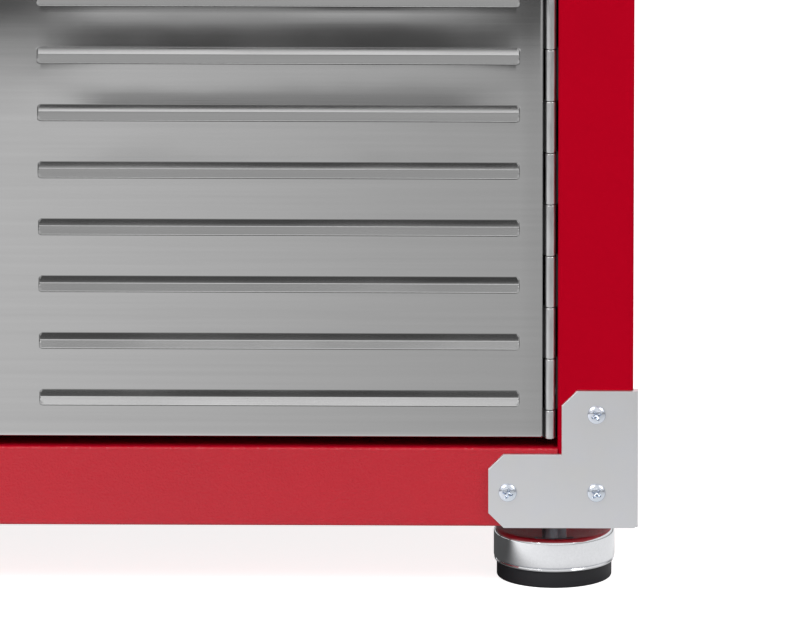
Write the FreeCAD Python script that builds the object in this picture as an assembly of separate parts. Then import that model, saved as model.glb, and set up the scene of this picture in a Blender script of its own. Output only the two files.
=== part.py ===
import FreeCAD, Part

import math
import os

Vector = FreeCAD.Vector

# A two-door tool cabinet of folded sheet steel, in millimetres.
# X runs to the right, Y from the front to the back and Z up.
# The origin is on the floor, under the middle of the whole object.

# The folded steel case
WIDTH = 711.0
DEPTH = 457.0
BODY_HEIGHT = 825.0
FOOT_HEIGHT = 35.0
SHEET = 1.2
BEND = 1.6
STILE = 37.1
STILE_RETURN = 22.0
RAIL = 40.0
RAIL_RETURN = 36.0
REAR_FLANGE = 22.0
SEAM_FLANGE = 20.0
BACK_SIDE_GAP = 0.5

# The doors
DOOR_THICKNESS = 20.0
DOOR_SHEET = 1.0
DOOR_BEND = 1.4
DOOR_GAP = 6.0
MEETING_GAP = 3.0
LINER_LIP = 8.0

# The pressed ribs across the doors
RIB_PITCH = 28.7
RIB_END = 21.2
RIB_GROOVE = 4.0
RIB_RAMP = 4.3
RIB_DEPTH = 1.25
RIB_HINGE_MARGIN = 11.5
RIB_MEETING_MARGIN = 62.0

# The continuous hinges
KNUCKLE_RADIUS = 2.45
KNUCKLE_TO_STILE = 1.4
KNUCKLE_TO_DOOR = 1.0
KNUCKLE_PITCH = 25.9
KNUCKLE_FIRST = 14.5
KNUCKLE_JOINT = 0.5
HINGE_AXIS_BACK = 2.5
HINGE_OVERRUN = 1.5
PIN_RADIUS = 1.2
RUNNING_CLEARANCE = 0.05
LEAF = 1.0
LEAF_FROM_REAR = 1.5
RIVET_FROM_REAR = 8.5
RIVET_FIRST = 22.0
RIVET_PITCH = 185.0
RIVET_RADIUS = 1.6
RIVET_HEAD_RADIUS = 2.7
RIVET_HEAD = 1.0

# The corner brackets and their screws
BRACKET_PLATE = 2.5
BRACKET_LENGTH = 73.7
BRACKET_HEIGHT = 69.5
BRACKET_ARM = 37.3
BRACKET_SETBACK = 2.0
BRACKET_CHAMFER = 7.5
BRACKET_LIP = 3.0
BRACKET_RELIEF = 1.5
SCREW_RADIUS = 2.5
SCREW_HEAD_RADIUS = 4.5
SCREW_HEAD = 2.4
SCREW_SHANK = 12.0
SCREW_IN = 18.0
SCREW_RISE = 39.5
SCREW_RUN = 43.6
SCREW_CLEARANCE = 0.2
RECESS_WIDTH = 1.1
RECESS_SPAN = 5.0
RECESS_DEPTH = 1.4

# The back panel screws
BACK_SCREW_RADIUS = 1.8
BACK_SCREW_HEAD_RADIUS = 3.6
BACK_SCREW_HEAD = 1.6
BACK_SCREW_SHANK = 8.0
BACK_SCREW_COUNT = 6
BACK_SCREW_END = 60.0

# The levelling feet
FOOT_FROM_SIDE = 38.9
FOOT_FROM_FRONT = 42.0
CUP_RADIUS = 30.0
CUP_HEIGHT = 16.5
CUP_WALL = 2.0
CUP_ROUND = 3.0
PAD_RADIUS = 28.5
PAD_HEIGHT = 8.4
PAD_PLUG = 5.6
PAD_ROUND = 1.5
STUD_RADIUS = 6.0
STUD_IN_BODY = 35.0
STUD_DISC_RADIUS = 9.0
STUD_DISC_GAP = 0.3
JAM_NUT = 6.0
JAM_NUT_FLATS = 19.0
WELD_NUT = 10.0
WELD_NUT_FLATS = 19.0
FOOT_PLATE = 38.0
FOOT_PLATE_THICKNESS = 3.0
STUD_HOLE_CLEARANCE = 0.5

# The pull handles and their screws
HANDLE_OUT = 30.0
HANDLE_ROD_RADIUS = 5.0
HANDLE_SPAN = 128.0
HANDLE_CORNER = 12.0
HANDLE_FROM_MEETING = 30.0
HANDLE_SCREW_RADIUS = 2.0
HANDLE_SCREW_BITE = 9.0
HANDLE_SCREW_HEAD_RADIUS = 3.8
HANDLE_SCREW_HEAD = 2.4

# The cam lock of the right door
LOCK_FROM_MEETING = 27.0
LOCK_ABOVE_HANDLE = 105.0
LOCK_FLANGE_RADIUS = 12.0
LOCK_FLANGE = 2.5
LOCK_BARREL_RADIUS = 9.0
LOCK_PLUG_RADIUS = 6.0
LOCK_NUT = 4.0
LOCK_NUT_FLATS = 24.0
LOCK_HOLE_CLEARANCE = 0.15
CAM_REACH = 42.0
CAM_WIDTH = 16.0
CAM_PLATE = 2.0
CAM_GAP = 0.5
CAM_SQUARE = 6.5
CAM_SCREW_RADIUS = 2.0
CAM_SCREW_HEAD_RADIUS = 5.0
CAM_SCREW_HEAD = 2.0
CAM_SCREW_BITE = 8.0
KEYWAY_WIDTH = 1.2
KEYWAY_HEIGHT = 7.0
KEYWAY_DEPTH = 8.0

# The slide bolt of the left door
BOLT_FROM_MEETING = 24.0
BOLT_ROD_RADIUS = 3.0
BOLT_ROD_LENGTH = 92.0
BOLT_BACK = 7.0
BOLT_START = 1.5
BOLT_PLATE = 1.5
BOLT_PLATE_WIDTH = 22.0
BOLT_PLATE_LENGTH = 64.0
BOLT_PLATE_RISE = 12.0
BOLT_GUIDE = 10.0
BOLT_GUIDE_WIDTH = 12.0
BOLT_KNOB_RADIUS = 2.5
BOLT_KNOB_LENGTH = 12.0
BOLT_HOLE_CLEARANCE = 0.5

# The magnetic catches
CATCH_WIDTH = 40.0
CATCH_HEIGHT = 18.0
CATCH_FROM_MEETING = 26.0
CATCH_GAP = 0.3
STRIKE_PLATE = 1.2
STRIKE_HEIGHT = 20.0
STRIKE_BELOW_TOP = 2.0

# The shelf and what carries it
STANDARD_WIDTH = 16.0
STANDARD_DEPTH = 7.0
STANDARD_SHEET = 1.0
STANDARD_END = 26.0
STANDARD_FROM_FRONT = 70.0
STANDARD_FROM_BACK = 46.0
SLOT_PITCH = 25.0
SLOT_HEIGHT = 3.0
SLOT_WIDTH = 10.0
SLOT_END = 20.0
SHELF_SLOT = 15
CLIP_SHEET = 1.5
CLIP_WIDTH = 12.0
CLIP_SEAT = 14.0
CLIP_TALL = 15.0
CLIP_TONGUE_WIDTH = 8.0
CLIP_TONGUE = 3.0
SHELF_LIP = 18.0
SHELF_SIDE_GAP = 1.0
SHELF_FROM_FRONT = 50.0
SHELF_FROM_BACK = 8.0

# Places that follow from the sizes above
X_SIDE = WIDTH / 2
X_OPENING = X_SIDE - STILE
X_WALL = X_SIDE - SHEET
Y_FRONT = (HANDLE_OUT - DEPTH - BACK_SCREW_HEAD) / 2
Y_BACK = Y_FRONT + DEPTH
Z_BODY = FOOT_HEIGHT
Z_TOP = Z_BODY + BODY_HEIGHT
Z_SILL = Z_BODY + RAIL
Z_HEAD = Z_TOP - RAIL
Z_FLOOR = Z_BODY + SHEET
STUD_TOP = Z_BODY + STUD_IN_BODY
DOOR_OUTER = X_OPENING - KNUCKLE_TO_STILE - 2 * KNUCKLE_RADIUS - KNUCKLE_TO_DOOR
DOOR_INNER = MEETING_GAP / 2
DOOR_BOTTOM = Z_SILL + DOOR_GAP
DOOR_TOP = Z_HEAD - DOOR_GAP
DOOR_REAR = Y_FRONT + DOOR_THICKNESS
RIB_COUNT = int((DOOR_TOP - DOOR_BOTTOM - 2 * RIB_END) / RIB_PITCH + 0.001) + 1
HINGE_X = X_OPENING - KNUCKLE_TO_STILE - KNUCKLE_RADIUS
HINGE_Y = Y_FRONT + HINGE_AXIS_BACK
HINGE_BOTTOM = DOOR_BOTTOM - HINGE_OVERRUN
HINGE_TOP = DOOR_TOP + HINGE_OVERRUN
LEAF_BACK = DOOR_REAR - LEAF_FROM_REAR
RIVET_Y = DOOR_REAR - RIVET_FROM_REAR
FOOT_X = X_SIDE - FOOT_FROM_SIDE
FOOT_PLACES = {
    "front_left": (-FOOT_X, Y_FRONT + FOOT_FROM_FRONT),
    "front_right": (FOOT_X, Y_FRONT + FOOT_FROM_FRONT),
    "rear_left": (-FOOT_X, Y_BACK - FOOT_FROM_FRONT),
    "rear_right": (FOOT_X, Y_BACK - FOOT_FROM_FRONT),
}
HANDLE_X = DOOR_INNER + HANDLE_FROM_MEETING
HANDLE_Z = (DOOR_BOTTOM + DOOR_TOP) / 2
LOCK_X = DOOR_INNER + LOCK_FROM_MEETING
LOCK_Z = HANDLE_Z + LOCK_ABOVE_HANDLE
CAM_FRONT = DOOR_REAR + CAM_GAP
BOLT_X = -(DOOR_INNER + BOLT_FROM_MEETING)
BOLT_Y = DOOR_REAR + BOLT_BACK
BOLT_BOTTOM = Z_SILL + BOLT_START
STANDARD_FACE = X_WALL - STANDARD_DEPTH
STANDARD_YS = (Y_FRONT + STANDARD_FROM_FRONT, Y_BACK - STANDARD_FROM_BACK)
STANDARD_BOTTOM = Z_BODY + STANDARD_END
STANDARD_TOP = Z_TOP - STANDARD_END
SHELF_SEAT = STANDARD_BOTTOM + SLOT_END + SHELF_SLOT * SLOT_PITCH + CLIP_TALL

X_AXIS = Vector(1, 0, 0)
Y_AXIS = Vector(0, 1, 0)
Z_AXIS = Vector(0, 0, 1)


def block(x0, x1, y0, y1, z0, z1):
    """A rectangular block between two corners."""
    return Part.makeBox(x1 - x0, y1 - y0, z1 - z0, Vector(x0, y0, z0))


def rod(radius, start, direction, length):
    """A round bar from a start point along a direction."""
    return Part.makeCylinder(radius, length, start, direction)


def mirrored(shape):
    """The same piece on the other side of the middle of the cabinet."""
    return shape.mirror(Vector(0, 0, 0), X_AXIS)


def fused(shapes):
    """One solid made of overlapping shapes."""
    return shapes[0].multiFuse(shapes[1:]).removeSplitter()


def rounded_outline(corners, place):
    """A closed wire through corners (u, v, radius), each rounded by its radius.

    A rounded corner starts and ends at the radius times the tangent of half
    the turn from its point, and the arc's middle is on the corner's bisector.
    """
    edges = []
    ends = []
    count = len(corners)
    for index in range(count):
        u, v, radius = corners[index]
        before = corners[index - 1]
        after = corners[(index + 1) % count]
        to_before = Vector(before[0] - u, before[1] - v, 0).normalize()
        to_after = Vector(after[0] - u, after[1] - v, 0).normalize()
        point = Vector(u, v, 0)
        if radius <= 0:
            ends.append((point, point))
            continue
        half = to_before.getAngle(to_after) / 2
        reach = radius / math.tan(half)
        bisector = (to_before + to_after).normalize()
        first = point + to_before * reach
        last = point + to_after * reach
        middle = point + bisector * (radius / math.sin(half) - radius)
        ends.append((first, last))
        arc = Part.Arc(place(first), place(middle), place(last))
        edges.append((index, arc.toShape()))
    for index in range(count):
        start = ends[index][1]
        end = ends[(index + 1) % count][0]
        edges.append((index + 0.5, Part.LineSegment(place(start), place(end)).toShape()))
    ordered = [edge for _, edge in sorted(edges, key=lambda item: item[0])]
    return Part.Wire(ordered)


def bent_sheet(path, thickness, bend, place, sweep):
    """A folded sheet: its section follows a path, and a sweep gives it length.

    The path is the sheet's one face, and the other face is the thickness to
    its left. A fold has the bend radius outside and the thickness less inside.
    """
    points = [Vector(u, v, 0) for u, v in path]
    normals = []
    for start, end in zip(points, points[1:]):
        along = (end - start).normalize()
        normals.append(Vector(-along.y, along.x, 0))
    inner_bend = max(bend - thickness, 0)
    near = [(points[0].x, points[0].y, 0)]
    far = [(points[0] + normals[0] * thickness, 0)]
    for index in range(1, len(points) - 1):
        before = normals[index - 1]
        after = normals[index]
        shift = (before + after) * (thickness / (1 + before.dot(after)))
        turns_left = before.cross(after).z > 0
        near.append((points[index].x, points[index].y, bend if turns_left else inner_bend))
        far.append((points[index] + shift, inner_bend if turns_left else bend))
    near.append((points[-1].x, points[-1].y, 0))
    far.append((points[-1] + normals[-1] * thickness, 0))
    corners = near + [(point.x, point.y, radius) for point, radius in reversed(far)]
    return Part.Face(rounded_outline(corners, place)).extrude(sweep)


def turned(corners, x, y):
    """A turned piece about an upright axis, from corners (radius, z, rounding)."""
    wire = rounded_outline(corners, lambda point: Vector(x + point.x, y, point.y))
    return Part.Face(wire).revolve(Vector(x, y, 0), Z_AXIS, 360)


def hexagon(flats, start, direction, length):
    """A hexagonal bar, with its flats' distance, from a start point."""
    corner = flats / math.sqrt(3)
    side = direction.cross(X_AXIS if abs(direction.x) < 0.5 else Z_AXIS).normalize()
    other = direction.cross(side)
    points = []
    for step in range(7):
        angle = math.radians(60 * step)
        points.append(start + side * (corner * math.cos(angle)) + other * (corner * math.sin(angle)))
    return Part.Face(Part.makePolygon(points)).extrude(direction * length)


def pan_screw(shank_radius, head_radius, head, shank, seat, outward):
    """A pan-head screw on its seat, with a cross recess in a rounded head."""
    cap = rod(head_radius, seat, outward, head)
    rim = []
    for edge in cap.Edges:
        if edge.Length > head_radius and (edge.BoundBox.Center - seat).dot(outward) > head * 0.9:
            rim.append(edge)
    cap = cap.makeFillet(head * 0.55, rim)
    screw = cap.fuse(rod(shank_radius, seat - outward * shank, outward, shank + head * 0.2))
    side = outward.cross(Z_AXIS).normalize()
    tip = seat + outward * (head - RECESS_DEPTH)
    for along, across in ((side, Z_AXIS), (Z_AXIS, side)):
        corner = tip - along * (RECESS_SPAN / 2) - across * (RECESS_WIDTH / 2)
        points = [
            corner,
            corner + along * RECESS_SPAN,
            corner + along * RECESS_SPAN + across * RECESS_WIDTH,
            corner + across * RECESS_WIDTH,
            corner,
        ]
        screw = screw.cut(Part.Face(Part.makePolygon(points)).extrude(outward * head))
    return screw


def side_panel():
    """The right side: the wall, the front stile with its return, and a rear flange."""
    path = [
        (X_OPENING, Y_FRONT + STILE_RETURN),
        (X_OPENING, Y_FRONT),
        (X_SIDE, Y_FRONT),
        (X_SIDE, Y_BACK),
        (X_SIDE - REAR_FLANGE, Y_BACK),
    ]
    panel = bent_sheet(path, SHEET, BEND, lambda p: Vector(p.x, p.y, Z_BODY), Z_AXIS * BODY_HEIGHT)
    for z0 in (Z_BODY, Z_TOP - SHEET):
        behind = block(0, X_OPENING + BEND, Y_FRONT + SHEET, Y_FRONT + STILE_RETURN, z0, z0 + SHEET)
        panel = panel.cut(behind)
    for x, z in bracket_screw_places():
        panel = panel.cut(rod(SCREW_RADIUS + SCREW_CLEARANCE, Vector(x, Y_FRONT - 1, z), Y_AXIS, 4))
    for z in back_screw_heights():
        hole = rod(BACK_SCREW_RADIUS + SCREW_CLEARANCE, Vector(back_screw_x(), Y_BACK - 5, z), Y_AXIS, 9)
        panel = panel.cut(hole)
    for z in rivet_heights():
        hole = rod(RIVET_RADIUS, Vector(X_OPENING - 1, RIVET_Y, z), X_AXIS, 4)
        panel = panel.cut(hole)
    return panel


def deck_panel():
    """The floor: a plate with the front rail and its return, and turned-up flanges."""
    rear = Y_BACK - 2 * SHEET
    path = [
        (rear, Z_BODY + SEAM_FLANGE),
        (rear, Z_BODY),
        (Y_FRONT, Z_BODY),
        (Y_FRONT, Z_SILL),
        (Y_FRONT + RAIL_RETURN, Z_SILL),
    ]
    path.reverse()
    start = -X_WALL
    sweep = X_AXIS * (2 * X_WALL)
    panel = bent_sheet(path, SHEET, BEND, lambda p: Vector(start, p.x, p.y), sweep)
    behind_stile = Y_FRONT + STILE_RETURN
    for side in (-1, 1):
        inner, outer = sorted((side * X_OPENING, side * X_SIDE))
        panel = panel.cut(block(inner, outer, Y_FRONT - 1, Y_FRONT + BEND, Z_BODY - 1, Z_SILL + 1))
        panel = panel.cut(block(inner, outer, Y_FRONT, Y_FRONT + RAIL_RETURN, Z_FLOOR, Z_SILL + 1))
        inner, outer = sorted((side * (X_WALL - SHEET), side * X_WALL))
        panel = panel.fuse(block(inner, outer, behind_stile + BEND, rear, Z_BODY, Z_BODY + SEAM_FLANGE))
    return panel.removeSplitter()


def floor_panel():
    """The floor with the holes for the feet and for the slide bolt."""
    panel = deck_panel()
    for x, y in FOOT_PLACES.values():
        hole = rod(STUD_RADIUS + STUD_HOLE_CLEARANCE, Vector(x, y, Z_BODY - 1), Z_AXIS, 5)
        panel = panel.cut(hole)
    keeper = rod(BOLT_ROD_RADIUS + BOLT_HOLE_CLEARANCE, Vector(BOLT_X, BOLT_Y, Z_SILL - 5), Z_AXIS, 9)
    panel = panel.cut(keeper)
    return pierced_for_brackets(panel)


def top_panel():
    """The top: the floor's form upside down, with no holes for feet."""
    middle = (Z_BODY + Z_TOP) / 2
    panel = deck_panel().mirror(Vector(0, 0, middle), Z_AXIS)
    return pierced_for_brackets(panel)


def pierced_for_brackets(panel):
    """Holes in a rail for the bracket screws that pass through it."""
    for x, z in bracket_screw_places():
        for side in (-1, 1):
            place = Vector(side * x, Y_FRONT - 1, z)
            panel = panel.cut(rod(SCREW_RADIUS + SCREW_CLEARANCE, place, Y_AXIS, 4))
    return panel


def back_screw_x():
    """The screws' distance from the middle, on the middle of the rear flange."""
    return X_SIDE - REAR_FLANGE / 2


def back_screw_heights():
    """The heights of the back panel's screws."""
    span = BODY_HEIGHT - 2 * BACK_SCREW_END
    step = span / (BACK_SCREW_COUNT - 1)
    return [Z_BODY + BACK_SCREW_END + step * index for index in range(BACK_SCREW_COUNT)]


def back_panel():
    """The back: a flat sheet in front of the rear flanges."""
    half = X_WALL - BACK_SIDE_GAP
    panel = block(-half, half, Y_BACK - 2 * SHEET, Y_BACK - SHEET, Z_BODY, Z_TOP)
    for z in back_screw_heights():
        for side in (-1, 1):
            place = Vector(side * back_screw_x(), Y_BACK - 5, z)
            panel = panel.cut(rod(BACK_SCREW_RADIUS + SCREW_CLEARANCE, place, Y_AXIS, 9))
    return panel


def back_panel_screws():
    """The screws that hold the back panel to the rear flanges."""
    screws = []
    for z in back_screw_heights():
        for side in (-1, 1):
            seat = Vector(side * back_screw_x(), Y_BACK, z)
            screw = rod(BACK_SCREW_HEAD_RADIUS, seat, Y_AXIS, BACK_SCREW_HEAD)
            rim = [edge for edge in screw.Edges if edge.BoundBox.YMin > Y_BACK + BACK_SCREW_HEAD * 0.9]
            screw = screw.makeFillet(BACK_SCREW_HEAD * 0.5, rim)
            shank = rod(BACK_SCREW_RADIUS, seat - Y_AXIS * BACK_SCREW_SHANK, Y_AXIS, BACK_SCREW_SHANK)
            screws.append(screw.fuse(shank))
    return Part.makeCompound(screws)


def bracket_screw_places():
    """The places (x, z) of the right side's bracket screws, at the bottom and the top."""
    x = X_SIDE - SCREW_IN
    low = [
        (x, Z_BODY + SCREW_IN),
        (x, Z_BODY + SCREW_IN + SCREW_RISE),
        (x - SCREW_RUN, Z_BODY + SCREW_IN),
    ]
    high = [(x, Z_BODY + Z_TOP - z) for x, z in low]
    return low + high


def corner_bracket():
    """The bottom right bracket: an L plate on the front, with a short lip round the side."""
    right = X_SIDE + BRACKET_PLATE
    left = right - BRACKET_LENGTH
    arm_left = X_OPENING + BRACKET_SETBACK
    bottom = Z_BODY
    top = bottom + BRACKET_HEIGHT
    arm_top = bottom + BRACKET_ARM
    cut = BRACKET_CHAMFER
    outline = [
        (left + cut, bottom),
        (right, bottom),
        (right, top),
        (arm_left + cut, top),
        (arm_left, top - cut),
        (arm_left, arm_top),
        (left + cut, arm_top),
        (left, arm_top - cut),
        (left, bottom + cut),
        (left + cut, bottom),
    ]
    points = [Vector(x, Y_FRONT - BRACKET_PLATE, z) for x, z in outline]
    plate = Part.Face(Part.makePolygon(points)).extrude(Y_AXIS * BRACKET_PLATE)
    lip = block(X_SIDE, right, Y_FRONT - BRACKET_PLATE, Y_FRONT + BRACKET_LIP, bottom, top)
    bracket = plate.fuse(lip).removeSplitter()
    front = Y_FRONT - BRACKET_PLATE
    folded = [
        edge
        for edge in bracket.Edges
        if edge.BoundBox.XMin > right - 0.01 and edge.BoundBox.YMax < front + 0.01
    ]
    bracket = bracket.makeFillet(BRACKET_PLATE * 0.6, folded)
    rim = [
        edge
        for edge in bracket.Edges
        if edge.BoundBox.YMax < front + 0.01 and edge.BoundBox.XMax < right - BRACKET_PLATE
    ]
    bracket = bracket.makeFillet(0.3, rim)
    relief = rod(BRACKET_RELIEF, Vector(right, front - 1, bottom), Y_AXIS, BRACKET_PLATE + 1)
    bracket = bracket.cut(relief)
    for x, z in bracket_screw_places():
        if z < Z_BODY + BODY_HEIGHT / 2:
            place = Vector(x, front - 1, z)
            bracket = bracket.cut(rod(SCREW_RADIUS + SCREW_CLEARANCE, place, Y_AXIS, BRACKET_PLATE + 3))
    return bracket


def bracket_screws():
    """The twelve cross-recessed screws of the four brackets."""
    screws = []
    seat_y = Y_FRONT - BRACKET_PLATE
    for x, z in bracket_screw_places():
        for side in (-1, 1):
            seat = Vector(side * x, seat_y, z)
            screws.append(
                pan_screw(SCREW_RADIUS, SCREW_HEAD_RADIUS, SCREW_HEAD, SCREW_SHANK, seat, Y_AXIS * -1)
            )
    return Part.makeCompound(screws)


def rivet_heights():
    """The heights of a hinge leaf's rivets: a steady pitch, and one at the top."""
    last = HINGE_TOP - RIVET_FIRST
    heights = []
    z = HINGE_BOTTOM + RIVET_FIRST
    while z < last - RIVET_PITCH / 4:
        heights.append(z)
        z += RIVET_PITCH
    return heights + [last]


def knuckle_spans():
    """The spans (bottom, top) of the hinge's knuckles, from the bottom up."""
    spans = []
    start = HINGE_BOTTOM
    end = HINGE_BOTTOM + KNUCKLE_FIRST
    while end < HINGE_TOP - KNUCKLE_FIRST / 2:
        spans.append((start, end - KNUCKLE_JOINT))
        start = end
        end += KNUCKLE_PITCH
    spans.append((start, HINGE_TOP))
    return spans


def hinge_leaf(face, side, first):
    """A leaf with every other knuckle, rolled from a plate that lies on a face.

    The face is the plane that the leaf is riveted to, the side is 1 where the
    plate lies below that plane in X, and first is its lowest knuckle's number.
    """
    inner = face - side * LEAF
    x0, x1 = sorted((face, inner))
    behind = HINGE_Y + KNUCKLE_RADIUS + 0.4
    pieces = [block(x0, x1, behind, LEAF_BACK, HINGE_BOTTOM, HINGE_TOP)]
    web_front = HINGE_Y + PIN_RADIUS + 0.5
    for z0, z1 in knuckle_spans()[first::2]:
        pieces.append(rod(KNUCKLE_RADIUS, Vector(HINGE_X, HINGE_Y, z0), Z_AXIS, z1 - z0))
        near, far = sorted((HINGE_X + side * 0.8, face))
        pieces.append(block(near, far, web_front, behind + 0.8, z0, z1))
    leaf = fused(pieces)
    below = Vector(HINGE_X, HINGE_Y, HINGE_BOTTOM - 1)
    leaf = leaf.cut(rod(PIN_RADIUS + RUNNING_CLEARANCE, below, Z_AXIS, HINGE_TOP - HINGE_BOTTOM + 2))
    for z in rivet_heights():
        hole = rod(RIVET_RADIUS, Vector(x0 - 1, RIVET_Y, z), X_AXIS, LEAF + 2)
        leaf = leaf.cut(hole)
    return leaf


def hinge_frame_leaf():
    """The leaf on the return of the stile, with the odd knuckles."""
    return hinge_leaf(X_OPENING, 1, 0)


def hinge_door_leaf():
    """The leaf on the edge of the door, with the even knuckles."""
    return hinge_leaf(DOOR_OUTER, -1, 1)


def hinge_pin():
    """The pin through all the knuckles."""
    return rod(PIN_RADIUS, Vector(HINGE_X, HINGE_Y, HINGE_BOTTOM), Z_AXIS, HINGE_TOP - HINGE_BOTTOM)


def rivets(head_face, direction, grip):
    """A leaf's rivets, whose heads lie on a face and whose shanks go through a grip."""
    group = []
    for z in rivet_heights():
        seat = Vector(head_face, RIVET_Y, z)
        head = rod(RIVET_HEAD_RADIUS, seat, direction * -1, RIVET_HEAD)
        rim = []
        for edge in head.Edges:
            if (edge.BoundBox.Center - seat).dot(direction) < -0.9 * RIVET_HEAD:
                rim.append(edge)
        head = head.makeFillet(RIVET_HEAD * 0.7, rim)
        shank = rod(RIVET_RADIUS, seat, direction, grip)
        tail = rod(RIVET_HEAD_RADIUS * 0.9, seat + direction * grip, direction, RIVET_HEAD * 0.8)
        group.append(fused([head, shank, tail]))
    return group


def frame_rivets():
    """The rivets of both frame leaves."""
    right = rivets(X_OPENING - LEAF, X_AXIS, LEAF + SHEET)
    return Part.makeCompound(right + [mirrored(rivet) for rivet in right])


def door_rivets():
    """The rivets of the right door's leaf."""
    return Part.makeCompound(rivets(DOOR_OUTER + LEAF, X_AXIS * -1, LEAF + DOOR_SHEET))


def rib_heights():
    """The heights of the middles of the grooves."""
    return [DOOR_BOTTOM + RIB_END + RIB_PITCH * index for index in range(RIB_COUNT)]


def rib_prism(z, back, grow):
    """One rib's cut: a groove with a steep top wall and a ramp below it."""
    top = z + RIB_GROOVE / 2 + grow
    bottom = z - RIB_GROOVE / 2
    left = DOOR_INNER + RIB_MEETING_MARGIN - grow
    right = DOOR_OUTER - RIB_HINGE_MARGIN + grow
    front = Y_FRONT - (0 if grow else 1)
    depth = Y_FRONT + RIB_DEPTH + back
    section = [
        (front, top),
        (depth, top - RIB_DEPTH / 2),
        (depth, bottom),
        (front, bottom - RIB_RAMP - grow),
        (front, top),
    ]
    points = [Vector(left, y, height) for y, height in section]
    return Part.Face(Part.makePolygon(points)).extrude(X_AXIS * (right - left))


def door_skin():
    """The right door's front pan, with four edges turned back and pressed ribs."""
    outer = block(DOOR_INNER, DOOR_OUTER, Y_FRONT, DOOR_REAR, DOOR_BOTTOM, DOOR_TOP)
    front_edges = [edge for edge in outer.Edges if edge.BoundBox.YMax < Y_FRONT + 0.01]
    outer = outer.makeFillet(DOOR_BEND, front_edges)
    hollow = block(
        DOOR_INNER + DOOR_SHEET,
        DOOR_OUTER - DOOR_SHEET,
        Y_FRONT + DOOR_SHEET,
        DOOR_REAR + 1,
        DOOR_BOTTOM + DOOR_SHEET,
        DOOR_TOP - DOOR_SHEET,
    )
    pan = outer.cut(hollow)
    ridges = []
    grooves = []
    for z in rib_heights():
        ridge = rib_prism(z, DOOR_SHEET, DOOR_SHEET)
        ridges.append(ridge)
        grooves.append(rib_prism(z, 0, 0))
    pan = pan.multiFuse(ridges)
    pan = pan.cut(Part.makeCompound(grooves))
    for z in rivet_heights():
        hole = rod(RIVET_RADIUS, Vector(DOOR_OUTER - 3, RIVET_Y, z), X_AXIS, 5)
        pan = pan.cut(hole)
    for z in handle_ends():
        hole = rod(HANDLE_SCREW_RADIUS + SCREW_CLEARANCE, Vector(HANDLE_X, Y_FRONT - 1, z), Y_AXIS, 4)
        pan = pan.cut(hole)
    return pan.removeSplitter()


def right_door_skin():
    """The right door's pan with the hole for the lock."""
    hole = rod(LOCK_BARREL_RADIUS + LOCK_HOLE_CLEARANCE, Vector(LOCK_X, Y_FRONT - 1, LOCK_Z), Y_AXIS, 4)
    return door_skin().cut(hole)


def door_liner():
    """The right door's back tray, inside the turned edges of the front pan."""
    left = DOOR_INNER + DOOR_SHEET
    right = DOOR_OUTER - DOOR_SHEET - RIVET_HEAD
    bottom = DOOR_BOTTOM + DOOR_SHEET
    top = DOOR_TOP - DOOR_SHEET
    lip_front = DOOR_REAR - LINER_LIP
    tray = block(left, right, lip_front, DOOR_REAR, bottom, top)
    inside = block(
        left + DOOR_SHEET,
        right - DOOR_SHEET,
        lip_front - 1,
        DOOR_REAR - DOOR_SHEET,
        bottom + DOOR_SHEET,
        top - DOOR_SHEET,
    )
    return tray.cut(inside)


def right_door_liner():
    """The right door's back tray with the hole for the lock."""
    place = Vector(LOCK_X, DOOR_REAR - 3, LOCK_Z)
    return door_liner().cut(rod(LOCK_BARREL_RADIUS + LOCK_HOLE_CLEARANCE, place, Y_AXIS, 4))


def handle_ends():
    """The heights of a handle's two ends."""
    return (HANDLE_Z - HANDLE_SPAN / 2, HANDLE_Z + HANDLE_SPAN / 2)


def door_handle():
    """The right door's pull: a bar bent twice, tapped at both ends."""
    low, high = handle_ends()
    grip_y = Y_FRONT - HANDLE_OUT + HANDLE_ROD_RADIUS
    corner = HANDLE_CORNER
    slant = corner * (1 - math.sqrt(0.5))

    def at(y, z):
        return Vector(HANDLE_X, y, z)

    low_leg = at(grip_y + corner, low)
    low_grip = at(grip_y, low + corner)
    high_grip = at(grip_y, high - corner)
    high_leg = at(grip_y + corner, high)
    curves = [
        Part.LineSegment(at(Y_FRONT, low), low_leg),
        Part.Arc(low_leg, at(grip_y + slant, low + slant), low_grip),
        Part.LineSegment(low_grip, high_grip),
        Part.Arc(high_grip, at(grip_y + slant, high - slant), high_leg),
        Part.LineSegment(high_leg, at(Y_FRONT, high)),
    ]
    path = Part.Wire([curve.toShape() for curve in curves])
    section = Part.Wire([Part.makeCircle(HANDLE_ROD_RADIUS, at(Y_FRONT, low), Y_AXIS)])
    handle = path.makePipeShell([section], True, True)
    for z in (low, high):
        bite = HANDLE_SCREW_BITE + 1
        handle = handle.cut(rod(HANDLE_SCREW_RADIUS + RUNNING_CLEARANCE, at(Y_FRONT, z), Y_AXIS * -1, bite))
    return handle


def handle_screws():
    """The screws that hold the right door's handle from inside the door."""
    screws = []
    for z in handle_ends():
        seat = Vector(HANDLE_X, Y_FRONT + DOOR_SHEET, z)
        shank = rod(HANDLE_SCREW_RADIUS, seat, Y_AXIS * -1, HANDLE_SCREW_BITE + DOOR_SHEET)
        head = rod(HANDLE_SCREW_HEAD_RADIUS, seat, Y_AXIS, HANDLE_SCREW_HEAD)
        screws.append(shank.fuse(head))
    return Part.makeCompound(screws)


def lock_at(y):
    """A point on the lock's axis."""
    return Vector(LOCK_X, y, LOCK_Z)


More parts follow.
